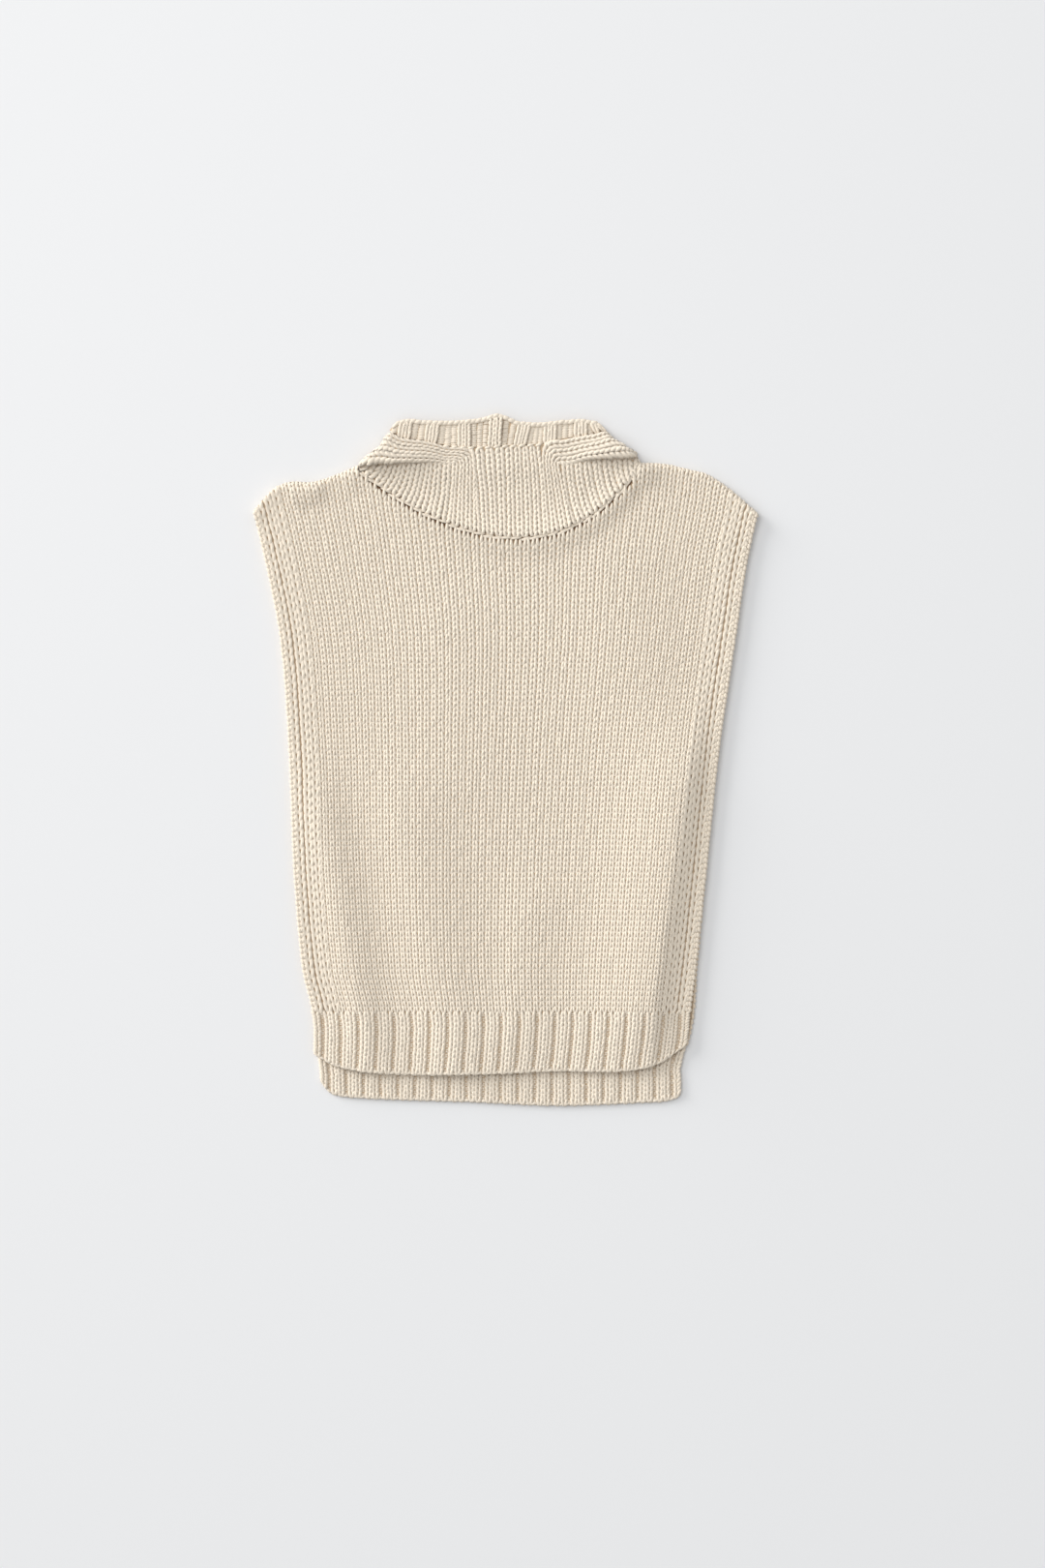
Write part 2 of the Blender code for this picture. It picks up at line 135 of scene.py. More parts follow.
def bell(distance, reach):
    return np.exp(-((distance / reach) ** 2))


def smoothValue(rows, at, field=1):
    # one column of a table, eased through its rows and straight beyond them
    table = np.array(sorted(rows), float)
    keys, values = table[:, 0], table[:, field]
    last = len(keys) - 1
    places = np.arange(len(keys))
    low, high = np.maximum(places - 1, 0), np.minimum(places + 1, last)
    slopes = (values[high] - values[low]) / (keys[high] - keys[low])
    at = np.asarray(at, float)
    after = np.clip(np.searchsorted(keys, at, side="right"), 1, last)
    before = after - 1
    span = keys[after] - keys[before]
    t = np.clip((at - keys[before]) / span, 0, 1)
    inside = values[before] * (1 + 2 * t) * (1 - t) ** 2 + slopes[before] * span * t * (1 - t) ** 2
    inside += values[after] * (3 - 2 * t) * t * t + slopes[after] * span * t * t * (t - 1)
    below = np.minimum(at - keys[0], 0) * slopes[0]
    above = np.maximum(at - keys[last], 0) * slopes[last]
    return inside + below + above


def shoulderHeight(x):
    left = smoothValue(shoulders["left"], np.minimum(x, shoulders["left"][-1][0]))
    right = smoothValue(shoulders["right"], np.maximum(x, shoulders["right"][0][0]))
    return np.where(x < neck["lowX"], left, right)


def neckline(x):
    x = np.clip(x, neck["left"], neck["right"])
    left = x < neck["lowX"]
    half = np.where(left, neck["lowX"] - neck["left"], neck["right"] - neck["lowX"])
    power = np.where(left, neck["leftPower"], neck["rightPower"])
    return neck["lowY"] + neck["rise"] * (np.abs(x - neck["lowX"]) / half) ** power


def frontLift(x, y):
    lift = 0.0
    for x0, y0, x1, y1, leftReach, rightReach, height in softFolds:
        runX, runY = x1 - x0, y1 - y0
        length = math.hypot(runX, runY)
        along = ((x - x0) * runX + (y - y0) * runY) / length
        across = ((y - y0) * runX - (x - x0) * runY) / length
        pastEnd = np.maximum(np.maximum(-along, along - length), 0)
        reach = np.where(across > 0, rightReach, leftReach)
        lift = lift + height * bell(across, reach) * bell(pastEnd, length * foldFade)
    seamX = np.clip(x, neck["left"], neck["right"])
    lift = lift + neck["ridge"] * bell(np.hypot(x - seamX, y - neckline(seamX)), neck["reach"])
    return lift + shoulders["lift"] * ease(1 - (shoulderHeight(x) - y) / shoulders["reach"])


def frontUnder(x, y):
    return cloth["thickness"] + cloth["seamGap"] + frontLift(x, y)


def settle(heightAt, xAt, start):
    y = start
    for _ in range(cloth["settleRounds"]):
        y = heightAt(xAt(y))
    return y


def onSurface(x, y, height, under):
    # points a height above a surface, along its normal
    step = cloth["slopeStep"]
    slopeX = (under(x + step, y) - under(x - step, y)) / (2 * step)
    slopeY = (under(x, y + step) - under(x, y - step)) / (2 * step)
    share = height / np.sqrt(slopeX ** 2 + slopeY ** 2 + 1)
    return np.stack([x - slopeX * share, y - slopeY * share, under(x, y) + share], -1)


def betweenBands(edges, share):
    def xAt(y):
        inset = cloth["bandWidth"] + cloth["seamGap"] / 2
        return mix(smoothValue(edges, y, 1) + inset, smoothValue(edges, y, 2) - inset, share)
    return xAt


def inBand(edges, side, share):
    def xAt(y):
        return smoothValue(edges, y, 1 if side < 0 else 2) - side * share * cloth["bandWidth"]
    return xAt


def shoulderRoll(xAt, shape):
    # the outer height, roll radius and start of the turn of a front column
    top = settle(shoulderHeight, xAt, np.full(shape, neck["backY"]))
    radius = (frontUnder(xAt(top), top - cloth["thickness"]) - cloth["thickness"]) / 2
    return top, radius, top - cloth["thickness"] - radius


def layFront(xAt, along, height):
    # a place on the front cloth: along runs up the column, over the shoulder and under to its seam
    top, radius, turn = shoulderRoll(xAt, along.shape)
    y = np.minimum(along, turn)
    flat = onSurface(xAt(y), y, height, frontUnder)
    bent = radius + cloth["thickness"]
    past = np.maximum(along - turn, 0)
    angle = np.minimum(past / bent, math.pi)
    under = np.maximum(past - math.pi * bent, 0)
    rolled = np.stack([
        xAt(top - (top - turn) * angle / math.pi - under),
        turn + np.sin(angle) * (radius + height) - under,
        cloth["thickness"] + radius + np.cos(angle) * (radius + height),
    ], -1)
    return np.where((along > turn)[..., None], rolled, flat)


def layNeck(xAt, along, height):
    return onSurface(xAt(along), along, height, frontUnder)


def layBack(xAt, along, height):
    # the back's outside faces the surface that it lies on
    return np.stack([xAt(along), along, cloth["thickness"] - height], -1)


def gather(columns, name, ring=False):
    # one closed shell from columns of inner and outer points, which may differ in length
    rows = max(len(column) for column in columns)
    width = len(columns)
    shape = bmesh.new()
    bmesh.ops.create_grid(shape, x_segments=width - 1, y_segments=rows - 1, size=1.0)
    place = shape.verts.layers.int.new("place")
    for vertex in shape.verts:
        vertex[place] = vertex.index
    unused = [v for v in shape.verts if v.index // width >= len(columns[v.index % width])]
    bmesh.ops.delete(shape, geom=unused, context="VERTS")
    lifted = bmesh.ops.extrude_face_region(shape, geom=shape.faces[:], use_keep_orig=True)["geom"]
    outer = {element for element in lifted if isinstance(element, bmesh.types.BMVert)}
    for vertex in shape.verts:
        row, column = divmod(vertex[place], width)
        vertex.co = columns[column][row][1 if vertex in outer else 0] * mm
    if ring:
        ends = (0, width - 1)
        walls = [face for face in shape.faces if len({v[place] % width for v in face.verts}) == 1]
        seam = [face for face in walls if face.verts[0][place] % width in ends]
        bmesh.ops.delete(shape, geom=seam, context="FACES_ONLY")
        bmesh.ops.remove_doubles(shape, verts=shape.verts, dist=0.01 * mm)
    bmesh.ops.recalc_face_normals(shape, faces=shape.faces)
    return finishPiece(shape, name)


def finishMesh(shape, name):
    mesh = bpy.data.meshes.new(name)
    shape.to_mesh(mesh)
    shape.free()
    return mesh


def finishPiece(shape, name):
    mesh = finishMesh(shape, name)
    mesh.shade_smooth()
    piece = bpy.data.objects.new(name, mesh)
    bpy.context.scene.collection.objects.link(piece)
    return piece


# yarn: one stitch is a few leaves, repeated and laid on the cloth
yarnShape = {
    "heightAt": (0.0, 0.35, 0.7, 1.0),    # where along a leaf its four heights are
    "pole": 0.999,            # past this, a leaf has come to its point
    "margin": 0.06,           # left free round each leaf in the UV map
    "shift": 0.04,            # how far a stitch may stray, as a share of a wale and a course
    "grow": (0.94, 1.06),     # how low and how high it may stand
}


def leaf(shape, start, end, width, thick, heights, round=5, rings=4, fuller=0.6, bow=0.0):
    # one bulging length of yarn from start to end, in millimetres beside, along and above
    made = bmesh.ops.create_uvsphere(shape, u_segments=round, v_segments=rings, radius=1.0, calc_uvs=True)
    runX, runY = end[0] - start[0], end[1] - start[1]
    length = math.hypot(runX, runY)
    for vertex in made["verts"]:
        t = (vertex.co.z + 1) / 2
        atPole = abs(vertex.co.z) >= yarnShape["pole"]
        swell = 0.0 if atPole else (1 - vertex.co.z ** 2) ** ((fuller - 1) / 2)
        side = vertex.co.x * swell * width / 2
        up = vertex.co.y * swell * thick / 2
        arch = bow * math.sin(math.pi * t)
        height = np.interp(t, yarnShape["heightAt"], heights)
        vertex.co = (
            start[0] + runX * t + (side + arch) * runY / length,
            start[1] + runY * t - (side + arch) * runX / length,
            height + up,
        )


def stitchOf(parts, name):
    # a stitch's mesh, whose UV map keeps each of its leaves apart
    shape = bmesh.new()
    shape.loops.layers.uv.new("OFBake")
    margin = yarnShape["margin"]
    for index, part in enumerate(parts):
        before = len(shape.faces)
        leaf(shape, **part)
        shape.faces.ensure_lookup_table()
        uv = shape.loops.layers.uv.active
        for face in shape.faces[before:]:
            for loop in face.loops:
                u, v = (mix(margin, 1 - margin, value) for value in loop[uv].uv)
                loop[uv].uv = ((index + u) / len(parts), v)
    mesh = finishMesh(shape, name)
    mesh["leaves"] = len(parts)
    return mesh


def knit(name, stitch, places, lay, facing=1):
    # repeats a stitch at every place (two numbers each), and lays each of its points on the cloth:
    # lay takes the places, and how far each point is beside, along and above its place
    places = np.asarray(places, float)
    count = len(places)
    piece = bpy.data.objects.new(name, stitch.copy())
    bpy.context.scene.collection.objects.link(piece)
    local = np.empty(len(stitch.vertices) * 3)
    stitch.vertices.foreach_get("co", local)
    local = local.reshape(-1, 3)
    repeat = piece.modifiers.new("repeat", "ARRAY")
    repeat.count = count
    repeat.use_relative_offset = False
    view = bpy.context.evaluated_depsgraph_get()
    mesh = bpy.data.meshes.new_from_object(piece.evaluated_get(view))
    piece.modifiers.clear()
    piece.data = mesh
    mesh.name = name
    stray = yarnShape["shift"]
    shift = chance.uniform(-stray, stray, (count, 1, 2)) * (cloth["wale"], cloth["course"])
    grow = chance.uniform(*yarnShape["grow"], (count, 1))
    beside = (local[None, :, 0] + shift[:, :, 0]).ravel()
    along = (local[None, :, 1] + shift[:, :, 1]).ravel()
    above = (local[None, :, 2] * grow).ravel()
    owner = np.repeat(places, len(local), axis=0)
    points = lay(owner, beside, along, above)
    points[:, 2] = np.maximum(points[:, 2], 0.0)    # nothing goes into the floor
    mesh.vertices.foreach_set("co", (points * mm).ravel())
    tone = np.repeat(chance.uniform(0, 1, count), len(local))
    mesh.attributes.new("tone", "FLOAT", "POINT").data.foreach_set("value", tone)
    # each point's height in its stitch, from which painted shade darkens the yarn's low parts
    mesh.attributes.new("depth", "FLOAT", "POINT").data.foreach_set("value", np.tile(local[:, 2], count))
    spread(mesh, stitch, count)
    if facing < 0:
        mesh.flip_normals()
    mesh.shade_smooth()
    mesh.update()
    return piece


def spread(mesh, stitch, count):
    # every stitch gets its own cell of the first UV map, and the second follows its yarn
    base = np.empty(len(stitch.loops) * 2)
    stitch.uv_layers[0].data.foreach_get("uv", base)
    base = base.reshape(1, -1, 2)
    across = math.ceil(math.sqrt(count))
    cell = np.arange(count)
    corner = np.stack([cell % across, cell // across], -1)[:, None, :]
    mesh.uv_layers[0].data.foreach_set("uv", ((base + corner) / across).astype(np.float32).ravel())
    base[:, :, 0] = base[:, :, 0] * stitch["leaves"] % 1.0
    yarnMap = mesh.uv_layers.new(name="yarn")
    yarnMap.data.foreach_set("uv", np.tile(base, (count, 1, 1)).astype(np.float32).ravel())


def vParts(wale, course, wide, thick, heights=(1.6, 2.6, 2.6, 1.7), low=0.06, high=0.41, reach=1.85,
           drop=0.5, curve=0.3, **more):
    # the two legs of a knit stitch: low and high are their ends' places across the wale, as shares of it,
    # and they start a drop below the stitch and run up for a reach, as shares of a course
    return [dict(
        start=(side * low * wale, -drop * course),
        end=(side * high * wale, (reach - drop) * course),
        width=wide,
        thick=thick,
        heights=heights,
        bow=side * curve,
        **more,
    ) for side in (-1, 1)]


def purlParts(half, levels, wide, thick, heights, curve, **more):
    # the two level bumps of a purl stitch
    return [dict(
        start=(-half, y),
        end=(half, y),
        width=wide,
        thick=thick,
        heights=heights,
        bow=side * curve,
        **more,
    ) for side, y in zip((-1, 1), levels)]


def link(start, end, wide, thick, low, high):
    # one slanting link of an edge, lower at its ends
    return dict(start=start, end=end, width=wide, thick=thick, heights=(low, high, high, low), round=6)


stitchParts = {
    "body": vParts(7.0, 5.06, 3.15, 1.25, fuller=0.5),
    "under": vParts(7.0, 5.06, 3.6, 1.5, (2.1, 2.6, 2.4, 1.8), low=0.11, high=0.37, reach=1.42, drop=0.14,
                    round=4, rings=3),
    "band": vParts(8.4, 8.1, 4.1, 1.4, low=0.05, high=0.39, reach=1.6, drop=0.34, curve=0.6,
                   fuller=0.5, round=7, rings=7),
    "rib": vParts(6.8, 5.0, 3.3, 1.25, high=0.4, fuller=0.5, rings=5),
    "collar": vParts(8.0, 5.3, 3.7, 1.15, fuller=0.5, rings=5),
    "purl": purlParts(3.9, (0.6, 3.1), 3.0, 1.7, (1.7, 2.3, 2.3, 1.7), 0.6),
    "sunk": purlParts(1.9, (0.6, 2.9), 2.1, 1.4, (1.5, 2.1, 2.1, 1.5), 0.4, round=4),
    "edge": [link((2.2, -0.6), (-0.8, 5.0), 4.4, 3.2, 1.7, 1.9)],
    "castOn": [link((-3.4, -0.5), (3.2, 0.7), 3.2, 3.2, 1.8, 2.1)],
    "hemEdge": [link((-3.2, -0.2), (3.2, 0.5), 3.2, 2.6, 1.5, 1.7)],
    "castOff": [link((-4.8, -0.7), (4.8, 0.7), 4.2, 3.0, 1.5, 2.1)],
    "chain": [
        link((-6.2, -0.6), (5.8, 0.8), 2.8, 1.5, 1.3, 1.9),
        link((-2.8, 2.2), (6.4, 0.9), 2.6, 1.5, 1.1, 1.5),
    ],
}
stitches = {name: stitchOf(parts, name + "Stitch") for name, parts in stitchParts.items()}


# the front and the back
body = {
    "wales": 57,
    "crowd": 0.1,             # wales are a tenth narrower at the sides
    "sideCourse": 8.1,        # the wale next to each band is knitted as the band is
    "lastPart": 0.25,         # how much of one more stitch fits at the end of a wale
    "frontGap": 0.3,          # from the last stitch to the neckline
    "backGap": 1.0,
    "shell": (0.4, 1.95),     # inner and outer height of the cloth behind the yarn
    "seamShell": 0.8,         # it sinks to this height beside a picked-up seam
    "seamSink": 5.0,
    "seamFlat": 1.0,
    "shoulderShare": 0.006,
    "seamPull": 0.2,          # how far the last stitches draw together below the neckline
    "pullStart": 1.5,
    "pullFade": 5.0,
    "overlap": 0.6,           # how far the shell runs in under the hem
    "columns": (14, 36, 16),  # of the left shoulder, the neckline and the right shoulder
    "rows": 70,
    "backRows": 60,
    "rollRows": 9,
    "lastRows": (6.0, 4.5, 3.0, 1.5, 0.0),    # distances of the last rows from the neckline
}


def waleShare(wale):
    t = wale / body["wales"]
    return t - body["crowd"] / (2 * math.pi) * np.sin(2 * math.pi * t)


def neckShares():
    level = neck["lowY"] + neck["rise"]
    left = betweenBands(frontEdges, 0.0)(level)
    right = betweenBands(frontEdges, 1.0)(level)
    places = (shoulders["left"][-1][0], neck["left"], neck["right"], shoulders["right"][0][0])
    return [(x - left) / (right - left) for x in places]


neckBounds = neckShares()


def shoulderSteps(xAt, bottom, rows):
    # distances up a front column, over the shoulder and under to its seam
    radius, turn = (value[0] for value in shoulderRoll(xAt, (1,))[1:])
    bent = math.pi * (radius + cloth["thickness"])
    last = bent + cloth["shoulderTurn"] - cloth["thickness"] - radius
    roll = np.linspace(turn, turn + bent, body["rollRows"])[1:]
    return np.concatenate([np.linspace(bottom, turn, rows), roll, [turn + last]])


def topOf(heightAt, xAt):
    # where one column of the cloth meets a line
    return settle(heightAt, xAt, np.array([neck["backY"]]))[0]


def shoulderSeam(xAt):
    return topOf(shoulderHeight, xAt) - cloth["shoulderTurn"] - cloth["seamGap"]


def backNeckline(x):
    middle = (neck["left"] + neck["right"]) / 2
    half = (neck["right"] - neck["left"]) / 2
    return neck["backY"] + neck["backRise"] * ((x - middle) / half) ** 2


def throughWall(lay, xAt, along, sunkEnd=None):
    # the inner and outer points of a column of cloth, which may sink toward its end
    low, high = (np.full(along.shape, float(h)) for h in body["shell"])
    if sunkEnd is not None:
        high = mix(body["seamShell"], high, ease((sunkEnd - along) / body["seamSink"]))
    return np.stack([lay(xAt, along, height) for height in (low, high)], 1)


def frontColumn(xAt, isNeck):
    bottom = hems["frontTop"] - body["overlap"]
    if not isNeck:
        return throughWall(layFront, xAt, shoulderSteps(xAt, bottom, body["rows"]))
    end = topOf(neckline, xAt) - cloth["neckSeam"]
    first, *last = body["lastRows"]
    places = np.linspace(bottom, end - first, body["rows"] - len(last))
    return throughWall(layNeck, xAt, np.append(places, end - np.array(last)), end - body["seamFlat"])


def backColumn(xAt, isNeck):
    end = topOf(backNeckline, xAt) - cloth["neckSeam"] if isNeck else shoulderSeam(xAt)
    return throughWall(layBack, xAt, np.linspace(hems["backTop"], end, body["backRows"]))


def panelColumns(edges, columnAt):
    ends = ((0.0, neckBounds[0]), neckBounds[1:3], (neckBounds[3], 1.0))
    return [
        columnAt(betweenBands(edges, share), part == 1)
        for part, (start, end) in enumerate(ends)
        for share in np.linspace(start, end, body["columns"][part])
    ]


def underCollar(share):
    # whether a wale ends at the neckline
    return (share > neckBounds[0] + body["shoulderShare"]) & (share < neckBounds[3] - body["shoulderShare"])


def waleWidth(wale):
    # share of the panel taken by a millimetre sideways, in a wale of the standard width
    return (waleShare(wale + 0.5) - waleShare(wale - 0.5)) / cloth["wale"]


def layFrontBody(owner, beside, along, above):
    ownShare = waleShare(owner[:, 0])
    run = hems["frontTop"] + owner[:, 1] + along
    toSeam = neckline(betweenBands(frontEdges, ownShare)(run)) - run
    isNeck = underCollar(ownShare)
    narrowed = 1 - body["seamPull"] * (1 - ease((toSeam - body["pullStart"]) / body["pullFade"])) * isNeck
    xAt = betweenBands(frontEdges, ownShare + beside * narrowed * waleWidth(owner[:, 0]))
    return np.where(isNeck[:, None], layNeck(xAt, run, above), layFront(xAt, run, above))


def layBackBody(owner, beside, along, above):
    share = waleShare(owner[:, 0]) + beside * waleWidth(owner[:, 0])
    return layBack(betweenBands(backEdges, share), hems["backTop"] + owner[:, 1] + along, above)


def bodyPlaces(wales, isFront, pitch):
    # (wale, distance from the rib) of every stitch
    places = []
    for wale in wales:
        share = waleShare(wale + 0.5)
        xAt = betweenBands(frontEdges if isFront else backEdges, share)
        if underCollar(share):
            line, gap = (neckline, body["frontGap"]) if isFront else (backNeckline, body["backGap"])
            end = topOf(line, xAt) - gap
        else:
            end = shoulderSteps(xAt, 0.0, 2)[-1] if isFront else shoulderSeam(xAt)
        run = end - hems["frontTop" if isFront else "backTop"]
        count = int(run / pitch - body["lastPart"])
        places += [(wale + 0.5, course * run / (count + body["lastPart"])) for course in range(count)]
    return places


def knitFront(name, stitch, wales, pitch):
    return knit(name, stitches[stitch], bodyPlaces(wales, True, pitch), layFrontBody)


frontCloth = gather(panelColumns(frontEdges, frontColumn), "frontPanelCloth")
backCloth = gather(panelColumns(backEdges, backColumn), "backPanelCloth")
lastWale = body["wales"] - 1
middleWale = lastWale // 2 + 1
frontKnit = [
    knitFront("frontKnitLeft", "body", range(1, middleWale), cloth["course"]),
    knitFront("frontKnitRight", "body", range(middleWale, lastWale), cloth["course"]),
    knitFront("frontKnitSides", "band", (0, lastWale), body["sideCourse"]),
]
backPlaces = bodyPlaces(range(body["wales"]), False, cloth["course"])
backKnit = [knit("backKnit", stitches["under"], backPlaces, layBackBody, facing=-1)]
print("front and back knitted")

# side bands: two dotted wales and a bumpy edge
bands = {
    "wales": (7.3, 16.5),     # their middles, from the open edge
    "narrow": 0.9,            # drawn in, so that a line sinks between them
    "course": 8.1,
    "edge": (0.9, 3.4),       # the middles of its two bumpy lines
    "edgeCourse": 5.0,
    "shellEdge": 0.7,
    "overlap": 0.4,
    "columns": 5,
    "frontRows": 60,
    "backRows": 40,
    "hollowShade": 0.28,           # how much painted shade darkens the cloth behind the yarn
}


def bandLay(edges, side, isFront):
    def lay(owner, beside, along, above):
        inward = owner[:, 0] - side * beside * bands["narrow"]
        xAt = inBand(edges, side, inward / cloth["bandWidth"])
        if isFront:
            return layFront(xAt, hems["frontTop"] + owner[:, 1] + along, above)
        return layBack(xAt, hems["backTop"] + owner[:, 1] + along, above)
    return lay


def bandColumns(edges, side, isFront):
    columns = []
    inwards = np.linspace(bands["shellEdge"], cloth["bandWidth"] + bands["overlap"], bands["columns"])
    for inward in inwards / cloth["bandWidth"]:
        xAt = inBand(edges, side, inward)
        if isFront:
            lay, steps = layFront, shoulderSteps(xAt, hems["frontTop"], bands["frontRows"])
        else:
            lay, steps = layBack, np.linspace(hems["backTop"], shoulderSeam(xAt), bands["backRows"])
        columns.append(throughWall(lay, xAt, steps))
    return columns


def bandPlaces(edges, side, isFront, middles, pitch):
    places = []
    for middle in middles:
        xAt = inBand(edges, side, middle / cloth["bandWidth"])
        end = shoulderSteps(xAt, 0.0, 2)[-1] if isFront else shoulderSeam(xAt)
        run = end - hems["frontTop" if isFront else "backTop"]
        count = int(run / pitch)
        places += [(middle, course * run / count) for course in range(count)]
    return places


bandPieces = {}
for bandName, side in (("Left", -1), ("Right", 1)):
    for layer, edges, isFront in (("front", frontEdges, True), ("back", backEdges, False)):
        name = layer + "Band" + bandName
        lay = bandLay(edges, side, isFront)
        facing = -side if isFront else side
        shell = gather(bandColumns(edges, side, isFront), name + "Cloth")
        knits = []
        for part, stitch, middles, pitch in (
            ("Knit", "band", bands["wales"], bands["course"]),
            ("Edge", "edge", bands["edge"], bands["edgeCourse"]),
        ):
            places = bandPlaces(edges, side, isFront, middles, pitch)
            knits.append(knit(name + part, stitches[stitch], places, lay, facing))
        bandPieces[layer + "_band_" + bandName.lower()] = (shell, knits)
print("bands knitted")

# ribbed hems: two raised knit wales, one sunk purl wale
ribs = {
    "knit": (0.205, 0.795),   # places of the wales in a repeat that starts on a crest
    "purl": 0.5,
    "courses": 12,
    "firstCourse": 0.03,      # where the first one stands, as a share of the hem's height
    "widen": 1.05,            # the rib's wales are wider than the body's
    "groove": (0.05, 0.16),   # half width of a groove's floor and its slope, as shares of a repeat
    "crestDip": (0.25, 0.3, 0.2),           # the dip between two knit wales: depth, start and slope
    "grooveDepth": 1.3,
    "grooveFade": (0.03, 0.1, 0.8, 1.0),    # where a groove starts and ends, as shares of the hem's height
    "grooveLost": 0.8,        # how much of it is gone at the hem's top
    "lowest": 0.3,
    "squeeze": 0.55,          # how much thinner the underside is at a groove
    "hollowShade": 0.05,           # how much painted shade darkens the cloth behind the yarn
    "straightBelow": -300.0,  # ribs run straight down from here
    "widthBelow": 25.0,       # the hem's width is taken this far below its top
    "shell": (0.9, 2.1),
    "shellColumns": 6,        # in each repeat
    "shellRows": 9,
    "castOn": (0.008, 0.022, 5.2),          # its inset, as a share, its height and its pitch
    "edgeInset": 0.002,
}


def ribHeight(share):
    # 0 in a groove, 1 on a crest
    away = np.abs((share * hems["repeats"]) % 1.0 - ribs["purl"])
    flat, slope = ribs["groove"]
    depth, start, fade = ribs["crestDip"]
    return ease((away - flat) / slope) * (1 - depth * ease((start - away) / fade))


def hemLay(edges, hem, top, under, facing):
    def lay(share, run, above):
        def xAt(y):
            level = np.maximum(y, ribs["straightBelow"])
            return mix(smoothValue(edges, level, 1), smoothValue(edges, level, 2), share)
        bottom = settle(lambda x: smoothValue(hem, x), xAt, np.full(share.shape, top - hems["height"]))
        y = mix(bottom, top, run)
        start, deep, rising, end = ribs["grooveFade"]
        groove = (1 - ribHeight(share)) * ease((run - start) / (deep - start))
        groove = groove * (1 - ribs["grooveLost"] * ease((run - rising) / (end - rising)))
        if facing < 0:
            return np.stack([xAt(y), y, (cloth["thickness"] - above) * (1 - ribs["squeeze"] * groove)], -1)
        return onSurface(xAt(y), y, np.maximum(above - ribs["grooveDepth"] * groove, ribs["lowest"]), under)
    return lay


def flatUnder(x, y):
    return np.zeros(np.broadcast(x, y).shape)


def hemShell(name, plain):
    runs = np.linspace(0, 1, ribs["shellRows"])
    columns = []
    for share in np.linspace(0, 1, hems["repeats"] * ribs["shellColumns"] + 1):
        wall = [plain(np.full(runs.shape, share), runs, np.full(runs.shape, h)) for h in ribs["shell"]]
        columns.append(np.stack(wall, 1))
    return gather(columns, name)


def knitHem(name, edges, hem, top, under, sides):
    level = top - ribs["widthBelow"]
    width = smoothValue(edges, level, 2) - smoothValue(edges, level, 1)

    def laid(lay, scale):
        # scale widens a stitch, or turns it round at the left edge
        def layIt(owner, beside, along, above):
            return lay(owner[:, 0] + beside * scale / width, owner[:, 1] + along / hems["height"], above)
        return layIt

    plain = hemLay(edges, hem, top, under, 1)
    shell = hemShell(name + "Cloth", plain)
    rows = [mix(ribs["firstCourse"], 1, row / ribs["courses"]) for row in range(ribs["courses"])]
    repeats = range(hems["repeats"])
    made = []
    for facing in sides:
        lay = laid(hemLay(edges, hem, top, under, facing), ribs["widen"])
        for part, stitch, middles in (("Knit", "rib", ribs["knit"]), ("Purl", "sunk", (ribs["purl"],))):
            wales = [(repeat + middle) / len(repeats) for repeat in repeats for middle in middles]
            places = [(wale, row) for wale in wales for row in rows]
            partName = name + part + ("" if facing > 0 else "Under")
            made.append(knit(partName, stitches[stitch], places, lay, facing=facing))
    inset, row, pitch = ribs["castOn"]
    places = [(share, row) for share in np.linspace(inset, 1 - inset, int(width / pitch))]
    made.append(knit(name + "CastOn", stitches["hemEdge"], places, laid(plain, 1)))
    for part, side, share in (("EdgeLeft", -1, ribs["edgeInset"]), ("EdgeRight", 1, 1 - ribs["edgeInset"])):
        places = [(share, row) for row in rows]
        made.append(knit(name + part, stitches["edge"], places, laid(plain, -side), facing=-side))
    return shell, made


hemPieces = {
    "front_hem_rib": knitHem("frontHem", frontEdges, hems["front"], hems["frontTop"], frontUnder, (1,)),
    "back_hem_rib": knitHem("backHem", backEdges, hems["back"], hems["backTop"], flatUnder, (1, -1)),
}
print("hems knitted")

